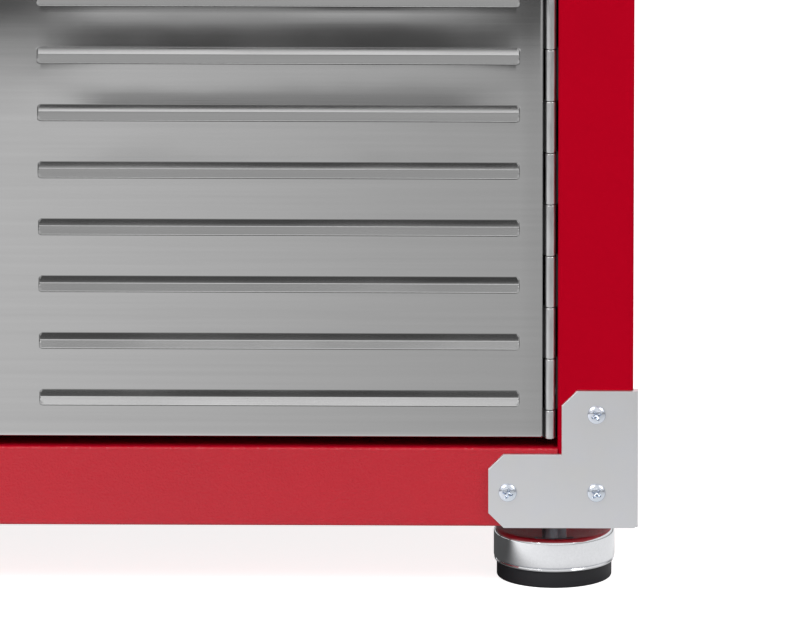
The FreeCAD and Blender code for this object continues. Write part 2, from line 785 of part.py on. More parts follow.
def lock_barrel():
    """The lock's fixed housing, with a flange on the door's front."""
    flange = rod(LOCK_FLANGE_RADIUS, lock_at(Y_FRONT - LOCK_FLANGE), Y_AXIS, LOCK_FLANGE)
    rim = [edge for edge in flange.Edges if edge.BoundBox.YMax < Y_FRONT - LOCK_FLANGE * 0.9]
    flange = flange.makeFillet(LOCK_FLANGE * 0.4, rim)
    length = DOOR_THICKNESS + LOCK_FLANGE
    start = lock_at(DOOR_REAR - length + LOCK_FLANGE / 2)
    body = rod(LOCK_BARREL_RADIUS, start, Y_AXIS, length - LOCK_FLANGE / 2)
    bore = rod(LOCK_PLUG_RADIUS + RUNNING_CLEARANCE, lock_at(DOOR_REAR - length - 1), Y_AXIS, length + 3)
    return flange.fuse(body).cut(bore)


def lock_square(half, front, rear):
    """A square bar on the lock's axis, by half its width."""
    return block(LOCK_X - half, LOCK_X + half, front, rear, LOCK_Z - half, LOCK_Z + half)


def lock_plug():
    """The lock's turning plug, with a keyway in front and a square end behind."""
    front = Y_FRONT - LOCK_FLANGE - 0.5
    plug = rod(LOCK_PLUG_RADIUS, lock_at(front), Y_AXIS, CAM_FRONT - front)
    plug = plug.fuse(lock_square(CAM_SQUARE / 2, CAM_FRONT - 1, CAM_FRONT + CAM_PLATE))
    keyway = block(
        LOCK_X - KEYWAY_WIDTH / 2,
        LOCK_X + KEYWAY_WIDTH / 2,
        front - 1,
        front + KEYWAY_DEPTH,
        LOCK_Z - KEYWAY_HEIGHT / 2,
        LOCK_Z + KEYWAY_HEIGHT / 2,
    )
    rear = lock_at(CAM_FRONT + CAM_PLATE)
    tapped = rod(CAM_SCREW_RADIUS + RUNNING_CLEARANCE, rear, Y_AXIS * -1, CAM_SCREW_BITE + 1)
    return plug.cut(keyway).cut(tapped)


def lock_cam():
    """The cam, which stands up when the lock is open."""
    half = CAM_WIDTH / 2
    round_end = rod(half, lock_at(CAM_FRONT), Y_AXIS, CAM_PLATE)
    arm = block(LOCK_X - half, LOCK_X + half, CAM_FRONT, CAM_FRONT + CAM_PLATE, LOCK_Z, LOCK_Z + CAM_REACH)
    cam = fused([round_end, arm])
    hole = lock_square(CAM_SQUARE / 2 + RUNNING_CLEARANCE, CAM_FRONT - 1, CAM_FRONT + CAM_PLATE + 1)
    return cam.cut(hole)


def lock_cam_screw():
    """The screw that holds the cam on the plug."""
    seat = lock_at(CAM_FRONT + CAM_PLATE)
    head = rod(CAM_SCREW_HEAD_RADIUS, seat, Y_AXIS, CAM_SCREW_HEAD)
    return head.fuse(rod(CAM_SCREW_RADIUS, seat, Y_AXIS * -1, CAM_SCREW_BITE))


def lock_nut():
    """The nut that clamps the lock to the door's front pan."""
    nut = hexagon(LOCK_NUT_FLATS, lock_at(Y_FRONT + DOOR_SHEET), Y_AXIS, LOCK_NUT)
    return nut.cut(rod(LOCK_BARREL_RADIUS + RUNNING_CLEARANCE, lock_at(Y_FRONT), Y_AXIS, LOCK_NUT + 5))


def bolt_guide_bottoms():
    """The heights of the slide bolt's two guides."""
    low = DOOR_BOTTOM + BOLT_PLATE_RISE
    return (low, low + BOLT_PLATE_LENGTH - BOLT_GUIDE)


def left_bolt_housing():
    """The slide bolt's plate on the left door's back, with two guides."""
    low, high = bolt_guide_bottoms()
    half = BOLT_PLATE_WIDTH / 2
    top = low + BOLT_PLATE_LENGTH
    pieces = [block(BOLT_X - half, BOLT_X + half, DOOR_REAR, DOOR_REAR + BOLT_PLATE, low, top)]
    half = BOLT_GUIDE_WIDTH / 2
    rear = BOLT_Y + BOLT_ROD_RADIUS + BOLT_PLATE
    for z in (low, high):
        pieces.append(block(BOLT_X - half, BOLT_X + half, DOOR_REAR, rear, z, z + BOLT_GUIDE))
    housing = fused(pieces)
    below = Vector(BOLT_X, BOLT_Y, low - 1)
    return housing.cut(rod(BOLT_ROD_RADIUS + RUNNING_CLEARANCE, below, Z_AXIS, BOLT_PLATE_LENGTH + 2))


def left_bolt_rod():
    """The slide bolt's rod with its thumb knob, drawn up out of the sill."""
    bar = rod(BOLT_ROD_RADIUS, Vector(BOLT_X, BOLT_Y, BOLT_BOTTOM), Z_AXIS, BOLT_ROD_LENGTH)
    rim = [edge for edge in bar.Edges if edge.BoundBox.ZMax < BOLT_BOTTOM + 0.01]
    bar = bar.makeChamfer(0.8, rim)
    low, high = bolt_guide_bottoms()
    knob_z = high - BOLT_KNOB_RADIUS - 1.0
    knob = rod(BOLT_KNOB_RADIUS, Vector(BOLT_X, BOLT_Y, knob_z), Y_AXIS, BOLT_KNOB_LENGTH)
    return bar.fuse(knob)


def catch_span():
    """The right catch's ends across the cabinet."""
    left = DOOR_INNER + CATCH_FROM_MEETING
    return left, left + CATCH_WIDTH


def magnet_catches():
    """The two magnetic catches under the return of the top rail."""
    left, right = catch_span()
    front = DOOR_REAR + STRIKE_PLATE + CATCH_GAP
    case = block(left, right, front, Y_FRONT + RAIL_RETURN, Z_HEAD - CATCH_HEIGHT, Z_HEAD)
    upright = [edge for edge in case.Edges if edge.BoundBox.ZMax < Z_HEAD - CATCH_HEIGHT + 0.01]
    case = case.makeFillet(1.5, upright)
    return Part.makeCompound([case, mirrored(case)])


def strike_plate():
    """The steel plate on the right door's back that the catch holds."""
    left, right = catch_span()
    top = DOOR_TOP - STRIKE_BELOW_TOP
    plate = block(left, right, DOOR_REAR, DOOR_REAR + STRIKE_PLATE, top - STRIKE_HEIGHT, top)
    corners = [edge for edge in plate.Edges if abs(edge.Length - STRIKE_PLATE) < 0.01]
    return plate.makeFillet(3.0, corners)


def shelf_standard(y):
    """A slotted channel on the right wall, at a distance from the front."""
    half = STANDARD_WIDTH / 2
    path = [
        (X_WALL, y + half),
        (STANDARD_FACE, y + half),
        (STANDARD_FACE, y - half),
        (X_WALL, y - half),
    ]
    height = STANDARD_TOP - STANDARD_BOTTOM
    upright = Z_AXIS * height
    channel = bent_sheet(path, STANDARD_SHEET, BEND, lambda p: Vector(p.x, p.y, STANDARD_BOTTOM), upright)
    slots = []
    z = STANDARD_BOTTOM + SLOT_END
    while z < STANDARD_TOP - SLOT_END:
        near = y - SLOT_WIDTH / 2
        far = y + SLOT_WIDTH / 2
        slots.append(block(STANDARD_FACE - 1, STANDARD_FACE + 2, near, far, z, z + SLOT_HEIGHT))
        z += SLOT_PITCH
    return channel.cut(Part.makeCompound(slots))


def shelf_standards():
    """The four slotted channels."""
    right = [shelf_standard(y) for y in STANDARD_YS]
    return Part.makeCompound(right + [mirrored(channel) for channel in right])


def shelf_clip(y):
    """A clip on a right channel: a tongue in a slot, a back and a seat for the shelf."""
    half = CLIP_WIDTH / 2
    foot = SHELF_SEAT - CLIP_TALL
    back = block(STANDARD_FACE - CLIP_SHEET, STANDARD_FACE, y - half, y + half, foot, SHELF_SEAT)
    under = SHELF_SEAT - CLIP_SHEET
    seat = block(STANDARD_FACE - CLIP_SEAT, STANDARD_FACE, y - half, y + half, under, SHELF_SEAT)
    half = CLIP_TONGUE_WIDTH / 2
    end = STANDARD_FACE + CLIP_TONGUE
    tongue = block(STANDARD_FACE - 1, end, y - half, y + half, foot, foot + CLIP_SHEET)
    return fused([back, seat, tongue])


def shelf_clips():
    """The four clips that carry the shelf."""
    right = [shelf_clip(y) for y in STANDARD_YS]
    return Part.makeCompound(right + [mirrored(clip) for clip in right])


def shelf():
    """The shelf: a plate with its four edges turned down."""
    half = STANDARD_FACE - SHELF_SIDE_GAP
    front = Y_FRONT + SHELF_FROM_FRONT
    rear = Y_BACK - 2 * SHEET - SHELF_FROM_BACK
    top = SHELF_SEAT + SHELF_LIP
    plate = block(-half, half, front, rear, SHELF_SEAT, top)
    rim = [edge for edge in plate.Edges if edge.BoundBox.ZMin > top - 0.01]
    plate = plate.makeFillet(BEND, rim)
    inside = block(-half + SHEET, half - SHEET, front + SHEET, rear - SHEET, SHELF_SEAT - 1, top - SHEET)
    return plate.cut(inside)


def foot_plates():
    """The doubling plates on the floor over the four feet."""
    plates = []
    half = FOOT_PLATE / 2
    for x, y in FOOT_PLACES.values():
        plate = block(x - half, x + half, y - half, y + half, Z_FLOOR, Z_FLOOR + FOOT_PLATE_THICKNESS)
        hole = rod(STUD_RADIUS + STUD_HOLE_CLEARANCE, Vector(x, y, Z_BODY), Z_AXIS, 10)
        plates.append(plate.cut(hole))
    return Part.makeCompound(plates)


def stud_nuts(flats, bottom, thickness):
    """Four nuts on the studs of the feet."""
    nuts = []
    for x, y in FOOT_PLACES.values():
        nut = hexagon(flats, Vector(x, y, bottom), Z_AXIS, thickness)
        bore = rod(STUD_RADIUS + RUNNING_CLEARANCE, Vector(x, y, bottom - 1), Z_AXIS, thickness + 2)
        nuts.append(nut.cut(bore))
    return Part.makeCompound(nuts)


def foot_cup(x, y):
    """A foot's chromed cup, open below, with a hole for the stud."""
    low = PAD_HEIGHT
    high = PAD_HEIGHT + CUP_HEIGHT
    hole = STUD_RADIUS + RUNNING_CLEARANCE
    corners = [
        (hole, high - CUP_WALL, 0),
        (CUP_RADIUS - CUP_WALL, high - CUP_WALL, CUP_ROUND - CUP_WALL),
        (CUP_RADIUS - CUP_WALL, low, 0),
        (CUP_RADIUS, low, 0),
        (CUP_RADIUS, high, CUP_ROUND),
        (hole, high, 0),
    ]
    return turned(corners, x, y)


def foot_pad(x, y):
    """A foot's rubber pad, whose upper part plugs into the cup."""
    plug = CUP_RADIUS - CUP_WALL - SCREW_CLEARANCE
    corners = [
        (0, 0, 0),
        (PAD_RADIUS, 0, PAD_ROUND),
        (PAD_RADIUS, PAD_HEIGHT, 0),
        (plug, PAD_HEIGHT, 0),
        (plug, PAD_HEIGHT + PAD_PLUG, 0),
        (0, PAD_HEIGHT + PAD_PLUG, 0),
    ]
    return turned(corners, x, y)


def foot_stud(x, y):
    """A foot's threaded stud, with a disc held inside the cup."""
    low = PAD_HEIGHT + PAD_PLUG + STUD_DISC_GAP
    high = PAD_HEIGHT + CUP_HEIGHT - CUP_WALL - STUD_DISC_GAP
    corners = [
        (0, low, 0),
        (STUD_DISC_RADIUS, low, 0),
        (STUD_DISC_RADIUS, high, 0),
        (STUD_RADIUS, high, 0),
        (STUD_RADIUS, STUD_TOP - 1, 0),
        (STUD_RADIUS - 1, STUD_TOP, 0),
        (0, STUD_TOP, 0),
    ]
    return turned(corners, x, y)


def nodes():
    """Every piece by its name."""
    wall = side_panel()
    low_bracket = corner_bracket()
    high_bracket = low_bracket.mirror(Vector(0, 0, (Z_BODY + Z_TOP) / 2), Z_AXIS)
    pieces = {
        "right_side_panel": wall,
        "left_side_panel": mirrored(wall),
        "floor_panel": floor_panel(),
        "top_panel": top_panel(),
        "back_panel": back_panel(),
        "back_panel_screws": back_panel_screws(),
        "bracket_bottom_right": low_bracket,
        "bracket_bottom_left": mirrored(low_bracket),
        "bracket_top_right": high_bracket,
        "bracket_top_left": mirrored(high_bracket),
        "bracket_screws": bracket_screws(),
        "shelf_standards": shelf_standards(),
        "shelf_clips": shelf_clips(),
        "shelf": shelf(),
        "foot_plates": foot_plates(),
        "foot_weld_nuts": stud_nuts(WELD_NUT_FLATS, Z_FLOOR + FOOT_PLATE_THICKNESS, WELD_NUT),
        "foot_jam_nuts": stud_nuts(JAM_NUT_FLATS, Z_BODY - JAM_NUT, JAM_NUT),
        "hinge_frame_rivets": frame_rivets(),
        "magnet_catches": magnet_catches(),
        "right_door_skin": right_door_skin(),
        "left_door_skin": mirrored(door_skin()),
        "right_door_liner": right_door_liner(),
        "left_door_liner": mirrored(door_liner()),
        "lock_barrel": lock_barrel(),
        "lock_plug": lock_plug(),
        "lock_cam": lock_cam(),
        "lock_cam_screw": lock_cam_screw(),
        "lock_nut": lock_nut(),
        "left_bolt_housing": left_bolt_housing(),
        "left_bolt_rod": left_bolt_rod(),
    }
    both_sides = {
        "hinge_frame_leaf": hinge_frame_leaf(),
        "hinge_door_leaf": hinge_door_leaf(),
        "hinge_pin": hinge_pin(),
        "hinge_door_rivets": door_rivets(),
        "door_handle": door_handle(),
        "handle_screws": handle_screws(),
        "strike_plate": strike_plate(),
    }
    for name, shape in both_sides.items():
        pieces["right_" + name] = shape
        pieces["left_" + name] = mirrored(shape)
    for corner, (x, y) in FOOT_PLACES.items():
        pieces["foot_cup_" + corner] = foot_cup(x, y)
        pieces["foot_pad_" + corner] = foot_pad(x, y)
        pieces["foot_stud_" + corner] = foot_stud(x, y)
    return pieces


os.makedirs("parts", exist_ok=True)
for node_name, node_shape in nodes().items():
    node_shape.exportStep("parts/" + node_name + ".step")
    print(node_name, len(node_shape.Solids), "solids", round(node_shape.Volume), node_shape.isValid())
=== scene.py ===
"""A two-door tool cabinet with ribbed stainless doors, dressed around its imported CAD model."""

import logging
import math
from dataclasses import dataclass
from enum import Enum

import bpy
import numpy as np
from mathutils import Matrix, Vector


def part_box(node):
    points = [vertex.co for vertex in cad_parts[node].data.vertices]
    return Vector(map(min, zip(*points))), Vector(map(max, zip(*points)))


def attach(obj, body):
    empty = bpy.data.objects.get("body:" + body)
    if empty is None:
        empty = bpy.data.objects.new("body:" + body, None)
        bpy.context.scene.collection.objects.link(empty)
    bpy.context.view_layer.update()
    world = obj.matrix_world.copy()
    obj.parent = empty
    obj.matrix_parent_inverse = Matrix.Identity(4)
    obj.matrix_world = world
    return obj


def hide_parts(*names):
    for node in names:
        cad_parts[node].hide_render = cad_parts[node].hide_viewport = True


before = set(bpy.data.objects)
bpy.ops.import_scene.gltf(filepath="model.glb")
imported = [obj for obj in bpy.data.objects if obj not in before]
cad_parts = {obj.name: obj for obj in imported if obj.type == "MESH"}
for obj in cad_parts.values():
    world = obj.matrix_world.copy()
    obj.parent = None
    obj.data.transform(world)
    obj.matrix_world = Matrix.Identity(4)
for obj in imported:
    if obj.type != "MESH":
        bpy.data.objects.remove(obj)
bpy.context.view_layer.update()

MM = 0.001
LOG = logging.getLogger("cabinet")


# Small tools for colours, nodes and meshes


def linear(code: str) -> tuple[float, float, float, float]:
    """Turn an sRGB hex colour into linear light.

    Args:
        code: The colour as "#RRGGBB".

    Returns:
        Red, green, blue and an alpha of 1.
    """
    shares = [int(code[i : i + 2], 16) / 255 for i in (1, 3, 5)]
    light = [s / 12.92 if s <= 0.04045 else ((s + 0.055) / 1.055) ** 2.4 for s in shares]
    return (light[0], light[1], light[2], 1.0)


def add_node(
    tree: bpy.types.NodeTree, kind: str, inputs: dict | None = None, **settings: object
) -> bpy.types.Node:
    """Add a node with its settings, values and links.

    Args:
        tree: The tree that the node goes into.
        kind: The node's type.
        inputs: By input name or number, a value, an output socket, or a node whose
            first output is meant.
        **settings: The node's own properties.

    Returns:
        The new node.
    """
    node = tree.nodes.new(kind)
    for name, value in settings.items():
        setattr(node, name, value)
    for name, value in (inputs or {}).items():
        if isinstance(value, bpy.types.Node):
            value = value.outputs[0]
        if isinstance(value, bpy.types.NodeSocket):
            tree.links.new(value, node.inputs[name])
        else:
            node.inputs[name].default_value = value
    return node


def spread(value: object, span: tuple[float, float], ends: tuple[float, float]) -> dict:
    """List the inputs that carry a span of values over to two ends.

    Args:
        value: The node or socket that gives the value.
        span: The value's two ends.
        ends: What the two ends become.

    Returns:
        The inputs by name.
    """
    return {"Value": value, "From Min": span[0], "From Max": span[1], "To Min": ends[0], "To Max": ends[1]}


def per_metre(*sizes: float) -> tuple[float, ...]:
    """How many spots fit into a metre along X, Y and Z, from one size in millimetres or three."""
    return tuple(1 / (size * MM) for size in (sizes if len(sizes) == 3 else sizes * 3))


def mesh_object(
    name: str, points: np.ndarray, faces: np.ndarray, sharp: float = 30.0
) -> bpy.types.Object:
    """Make a smooth-shaded mesh object whose place is in its mesh.

    Args:
        name: The piece's name.
        points: Corner points in millimetres, one row each.
        faces: Four corner numbers per face, whose normals point outwards. A face
            whose last two numbers are equal is a triangle.
        sharp: Edges that turn by more degrees than this stay sharp.

    Returns:
        The object, linked into the scene.
    """
    mesh = bpy.data.meshes.new(name)
    rows = [row[:3] if row[2] == row[3] else row for row in faces.tolist()]
    mesh.from_pydata((points * MM).tolist(), [], rows)
    mesh.validate()
    mesh.shade_smooth()
    mesh.set_sharp_from_angle(angle=math.radians(sharp))
    piece = bpy.data.objects.new(name, mesh)
    bpy.context.scene.collection.objects.link(piece)
    return piece


def grid_faces(rows: int, columns: int, wrap: bool) -> np.ndarray:
    """Number the quads of a grid of points that is stored row by row.

    Args:
        rows: Points along the first way.
        columns: Points along the second way.
        wrap: True where the last column joins the first.

    Returns:
        Four corner numbers per quad.
    """
    i = np.arange(rows - 1)[:, None]
    j = np.arange(columns if wrap else columns - 1)[None, :]
    k = (j + 1) % columns
    corners = (i * columns + j, i * columns + k, (i + 1) * columns + k, (i + 1) * columns + j)
    return np.stack(np.broadcast_arrays(*corners), axis=-1).reshape(-1, 4)


def lathe(profile: np.ndarray, segments: int) -> tuple[np.ndarray, np.ndarray]:
    """Turn a closed profile about the Z axis.

    A point (r, z) of the profile at the angle t lies at (r cos t, r sin t, z), and
    the last point of the profile joins the first.

    Args:
        profile: Radii and heights in millimetres, so that the solid is on the
            left of the path from point to point.
        segments: Steps round the axis.

    Returns:
        The points and the quads.
    """
    closed = np.vstack([profile, profile[:1]])
    turn = np.arange(segments) * (2 * math.pi / segments)
    radius, height = closed[:, :1], closed[:, 1:]
    x = radius * np.cos(turn)
    y = radius * np.sin(turn)
    z = height + 0 * turn
    points = np.stack([x, y, z], axis=-1).reshape(-1, 3)
    faces = grid_faces(len(closed), segments, True)
    last = (len(closed) - 1) * segments
    faces = np.where(faces >= last, faces - last, faces)
    return points[:last], faces


def fillet(
    centre: tuple[float, float], radius: float, start: float, end: float, steps: int
) -> np.ndarray:
    """The points of an arc of a profile.

    A point at the angle a lies at centre + radius (cos a, sin a).

    Args:
        centre: The arc's centre.
        radius: Its radius.
        start: The first angle in degrees.
        end: The last angle in degrees.
        steps: The number of points.

    Returns:
        One row per point.
    """
    angle = np.radians(np.linspace(start, end, steps))
    return np.array(centre) + radius * np.stack([np.cos(angle), np.sin(angle)], axis=-1)


def box_mesh(low: tuple, high: tuple) -> tuple[np.ndarray, np.ndarray]:
    """A box between two corners.

    Args:
        low: Its lowest corner in millimetres.
        high: Its highest corner.

    Returns:
        The points and the quads.
    """
    ends = np.array([low, high])
    pick = np.stack(np.meshgrid([0, 1], [0, 1], [0, 1], indexing="ij"), -1).reshape(-1, 3)
    points = ends[pick, np.arange(3)]
    faces = [[0, 1, 3, 2], [4, 6, 7, 5], [0, 4, 5, 1], [2, 3, 7, 6], [0, 2, 6, 4], [1, 5, 7, 3]]
    return points, np.array(faces)


def joined(parts: list[tuple[np.ndarray, np.ndarray]]) -> tuple[np.ndarray, np.ndarray]:
    """Put several meshes into one, and number their points on.

    Args:
        parts: Points and faces of each mesh.

    Returns:
        All the points and all the faces.
    """
    starts = np.cumsum([0] + [len(points) for points, _ in parts[:-1]])
    faces = [rows + start for (_, rows), start in zip(parts, starts)]
    return np.vstack([points for points, _ in parts]), np.vstack(faces)


# The finishes

# A noise's values lie mostly between these two.
MIDDLE = (0.3, 0.7)


@dataclass(frozen=True)
class Finish:
    """A surface finish: what every finish has, and how its material is put together."""

    name: str
    colour: str
    roughness: float

    def make(self) -> bpy.types.Material:
        """Make the finish's material at its first use.

        Returns:
            The material.
        """
        known = bpy.data.materials.get(self.name)
        if known:
            return known
        material = bpy.data.materials.new(self.name)
        material.use_nodes = True
        tree = material.node_tree
        tree.nodes.clear()
        where = add_node(tree, "ShaderNodeTexCoord").outputs["Object"]
        shader = add_node(tree, "ShaderNodeBsdfPrincipled", self.sockets(tree, where))
        add_node(tree, "ShaderNodeOutputMaterial", {"Surface": shader})
        return material

    def sockets(self, tree: bpy.types.NodeTree, where: bpy.types.NodeSocket) -> dict:
        """Work out the finish's pattern and the inputs of its shader.

        Args:
            tree: The material's tree.
            where: The object coordinates in metres.

        Returns:
            Values, nodes or sockets by the shader's input names.
        """
        raise NotImplementedError

    def tones(self, low: float, high: float) -> tuple[tuple, tuple]:
        """The finish's colour made darker and lighter.

        Args:
            low: The share of the light that the dark tone keeps.
            high: The light tone's share, which stops at white.

        Returns:
            The dark and the light tone.
        """
        base = np.array(linear(self.colour)[:3])
        return (*(base * low), 1.0), (*np.minimum(base * high, 1.0), 1.0)

    def band(self, width: float) -> tuple[float, float]:
        """The roughness less and plus a width."""
        return self.roughness - width, self.roughness + width


@dataclass(frozen=True)
class PowderCoat(Finish):
    """Baked polyester powder on steel: even, saturated colour with a fine orange peel.

    The eye sees small soft glints where the peel catches the light, most of all
    along the bends and towards the lamp. Sizes are in millimetres.
    """

    peel: float = 1.1
    peel_depth: float = 0.03
    cloud: float = 60.0
    specular: float = 0.3
    clear: float = 0.0
    clear_roughness: float = 0.22

    def sockets(self, tree: bpy.types.NodeTree, where: bpy.types.NodeSocket) -> dict:
        """Orange peel in the surface, and slow clouds in its colour and gloss.

        Args:
            tree: The material's tree.
            where: The object coordinates in metres.

        Returns:
            Values, nodes or sockets by the shader's input names.
        """
        small = add_node(tree, "ShaderNodeMapping", {"Vector": where, "Scale": per_metre(self.peel)})
        peel = add_node(tree, "ShaderNodeTexNoise", {"Vector": small, "Scale": 1.0, "Detail": 1.0})
        large = add_node(tree, "ShaderNodeMapping", {"Vector": where, "Scale": per_metre(self.cloud)})
        cloud = add_node(tree, "ShaderNodeTexNoise", {"Vector": large, "Scale": 1.0, "Detail": 2.0})
        share = add_node(tree, "ShaderNodeMapRange", spread(cloud, MIDDLE, (0.0, 1.0)))
        dark, light = self.tones(0.97, 1.03)
        colour = add_node(tree, "ShaderNodeMix", {0: share, 6: dark, 7: light}, data_type="RGBA")
        return {
            "Base Color": colour.outputs[2],
            "Roughness": add_node(tree, "ShaderNodeMapRange", spread(cloud, MIDDLE, self.band(0.03))),
            "Specular IOR Level": self.specular,
            "Coat Weight": self.clear,
            "Coat Roughness": self.clear_roughness,
            "Normal": add_node(tree, "ShaderNodeBump", {"Height": peel, "Distance": self.peel_depth * MM}),
        }


@dataclass(frozen=True)
class BrushedSteel(Finish):
    """Stainless sheet brushed along X: long thin streaks, and soft reflections.

    The real scratches are finer than a pixel, so the streaks are drawn 0.7 mm high
    and 90 mm long, and a second set is 2.5 mm high. Sizes are in millimetres.
    """

    streak: float = 0.7
    streak_length: float = 90.0
    streak_depth: float = 0.0009
    broad: float = 2.5
    broad_length: float = 160.0

    def sockets(self, tree: bpy.types.NodeTree, where: bpy.types.NodeSocket) -> dict:
        """Fine streaks in the surface, broad ones in its colour, clouds in its gloss.

        Args:
            tree: The material's tree.
            where: The object coordinates in metres.

        Returns:
            Values, nodes or sockets by the shader's input names.
        """
        thin = per_metre(self.streak_length, self.streak, self.streak)
        along = add_node(tree, "ShaderNodeMapping", {"Vector": where, "Scale": thin})
        fine = add_node(tree, "ShaderNodeTexNoise", {"Vector": along, "Scale": 1.0, "Detail": 2.0})
        thick = per_metre(self.broad_length, self.broad, self.broad)
        across = add_node(tree, "ShaderNodeMapping", {"Vector": where, "Scale": thick})
        broad = add_node(tree, "ShaderNodeTexNoise", {"Vector": across, "Scale": 1.0, "Detail": 2.0})
        large = add_node(tree, "ShaderNodeMapping", {"Vector": where, "Scale": per_metre(70, 40, 40)})
        cloud = add_node(tree, "ShaderNodeTexNoise", {"Vector": large, "Scale": 1.0, "Detail": 2.0})
        share = add_node(tree, "ShaderNodeMapRange", spread(broad, MIDDLE, (0.0, 1.0)))
        dark, light = self.tones(0.975, 1.025)
        colour = add_node(tree, "ShaderNodeMix", {0: share, 6: dark, 7: light}, data_type="RGBA")
        return {
            "Base Color": colour.outputs[2],
            "Metallic": 1.0,
            "Roughness": add_node(tree, "ShaderNodeMapRange", spread(cloud, MIDDLE, self.band(0.03))),
            "Normal": add_node(tree, "ShaderNodeBump", {"Height": fine, "Distance": self.streak_depth * MM}),
        }


@dataclass(frozen=True)
class HingeSteel(Finish):
    """Rolled steel strip: bright where it is rolled into knuckles, with painted shade behind them.

    The knuckles show fine rings from the rolling. The leaf behind them is darkened
    by painted shade, so the slot beside the hinge looks dark. The bright part ends
    at a place along Y in millimetres, and fades into the painted shade over a short way.
    """

    bright_until: float = -210.8
    fade: float = 0.8
    shade_tone: float = 0.07
    ring: float = 0.6
    ring_depth: float = 0.002

    def sockets(self, tree: bpy.types.NodeTree, where: bpy.types.NodeSocket) -> dict:
        """Rings in the surface, clouds in its colour and gloss, and painted shade behind.

        Args:
            tree: The material's tree.
            where: The object coordinates in metres.

        Returns:
            Values, nodes or sockets by the shader's input names.
        """
        flat = add_node(tree, "ShaderNodeMapping", {"Vector": where, "Scale": per_metre(4, 4, self.ring)})
        ring = add_node(tree, "ShaderNodeTexNoise", {"Vector": flat, "Scale": 1.0, "Detail": 2.0})
        tall = add_node(tree, "ShaderNodeMapping", {"Vector": where, "Scale": per_metre(3, 3, 9)})
        cloud = add_node(tree, "ShaderNodeTexNoise", {"Vector": tall, "Scale": 1.0, "Detail": 2.0})
        # Painted shade: behind the knuckles the leaf's colour falls to a dark tone that stands for the shade
        # in the slot.
        back = add_node(tree, "ShaderNodeSeparateXYZ", {0: where}).outputs[1]
        edge = (self.bright_until * MM, (self.bright_until + self.fade) * MM)
        painted_shade = add_node(tree, "ShaderNodeMapRange", spread(back, edge, (0.0, 1.0)))
        share = add_node(tree, "ShaderNodeMapRange", spread(cloud, MIDDLE, (0.0, 1.0)))
        dark, light = self.tones(0.93, 1.05)
        unshaded = add_node(tree, "ShaderNodeMix", {0: share, 6: dark, 7: light}, data_type="RGBA")
        shade_tone = self.tones(self.shade_tone, 1.0)[0]
        inputs = {0: painted_shade, 6: unshaded.outputs[2], 7: shade_tone}
        colour = add_node(tree, "ShaderNodeMix", inputs, data_type="RGBA")
        return {
            "Base Color": colour.outputs[2],
            "Metallic": 1.0,
            "Roughness": add_node(tree, "ShaderNodeMapRange", spread(cloud, MIDDLE, self.band(0.04))),
            "Normal": add_node(tree, "ShaderNodeBump", {"Height": ring, "Distance": self.ring_depth * MM}),
        }


@dataclass(frozen=True)
class SatinPlate(Finish):
    """Steel with a satin zinc plating: an even pale grey sheen with a faint cast.

    The plating leaves slow clouds of warmer and cooler grey, and a fine tooth.
    Sizes are in millimetres.
    """

    cool: str = "#D3D8D9"
    cloud: float = 18.0
    tooth: float = 0.6
    tooth_depth: float = 0.004

    def sockets(self, tree: bpy.types.NodeTree, where: bpy.types.NodeSocket) -> dict:
        """Clouds between two greys, and the tooth in the surface.

        Args:
            tree: The material's tree.
            where: The object coordinates in metres.

        Returns:
            Values, nodes or sockets by the shader's input names.
        """
        large = add_node(tree, "ShaderNodeMapping", {"Vector": where, "Scale": per_metre(self.cloud)})
        cloud = add_node(tree, "ShaderNodeTexNoise", {"Vector": large, "Scale": 1.0, "Detail": 3.0})
        small = add_node(tree, "ShaderNodeMapping", {"Vector": where, "Scale": per_metre(self.tooth)})
        tooth = add_node(tree, "ShaderNodeTexNoise", {"Vector": small, "Scale": 1.0, "Detail": 2.0})
        share = add_node(tree, "ShaderNodeMapRange", spread(cloud, MIDDLE, (0.0, 1.0)))
        inputs = {0: share, 6: linear(self.colour), 7: linear(self.cool)}
        colour = add_node(tree, "ShaderNodeMix", inputs, data_type="RGBA")
        return {
            "Base Color": colour.outputs[2],
            "Metallic": 1.0,
            "Roughness": add_node(tree, "ShaderNodeMapRange", spread(cloud, MIDDLE, self.band(0.04))),
            "Normal": add_node(tree, "ShaderNodeBump", {"Height": tooth, "Distance": self.tooth_depth * MM}),
        }


@dataclass(frozen=True)
class Polished(Finish):
    """Bright nickel and chrome on steel: clear reflections over a slightly wavy base.

    The eye sees the room drawn out in it, a little uneven, and a trace of dust.
    Sizes are in millimetres.
    """

    wave: float = 6.0
    wave_depth: float = 0.02
    dust: float = 1.2

    def sockets(self, tree: bpy.types.NodeTree, where: bpy.types.NodeSocket) -> dict:
        """Waves in the surface, and dust in its colour and gloss.

        Args:
            tree: The material's tree.
            where: The object coordinates in metres.

        Returns:
            Values, nodes or sockets by the shader's input names.
        """
        large = add_node(tree, "ShaderNodeMapping", {"Vector": where, "Scale": per_metre(self.wave)})
        wave = add_node(tree, "ShaderNodeTexNoise", {"Vector": large, "Scale": 1.0, "Detail": 2.0})
        small = add_node(tree, "ShaderNodeMapping", {"Vector": where, "Scale": per_metre(self.dust)})
        dust = add_node(tree, "ShaderNodeTexNoise", {"Vector": small, "Scale": 1.0, "Detail": 4.0})
        share = add_node(tree, "ShaderNodeMapRange", spread(dust, MIDDLE, (0.0, 1.0)))
        dark, light = self.tones(0.97, 1.02)
        colour = add_node(tree, "ShaderNodeMix", {0: share, 6: dark, 7: light}, data_type="RGBA")
        return {
            "Base Color": colour.outputs[2],
            "Metallic": 1.0,
            "Roughness": add_node(tree, "ShaderNodeMapRange", spread(dust, MIDDLE, self.band(0.03))),
            "Normal": add_node(tree, "ShaderNodeBump", {"Height": wave, "Distance": self.wave_depth * MM}),
        }


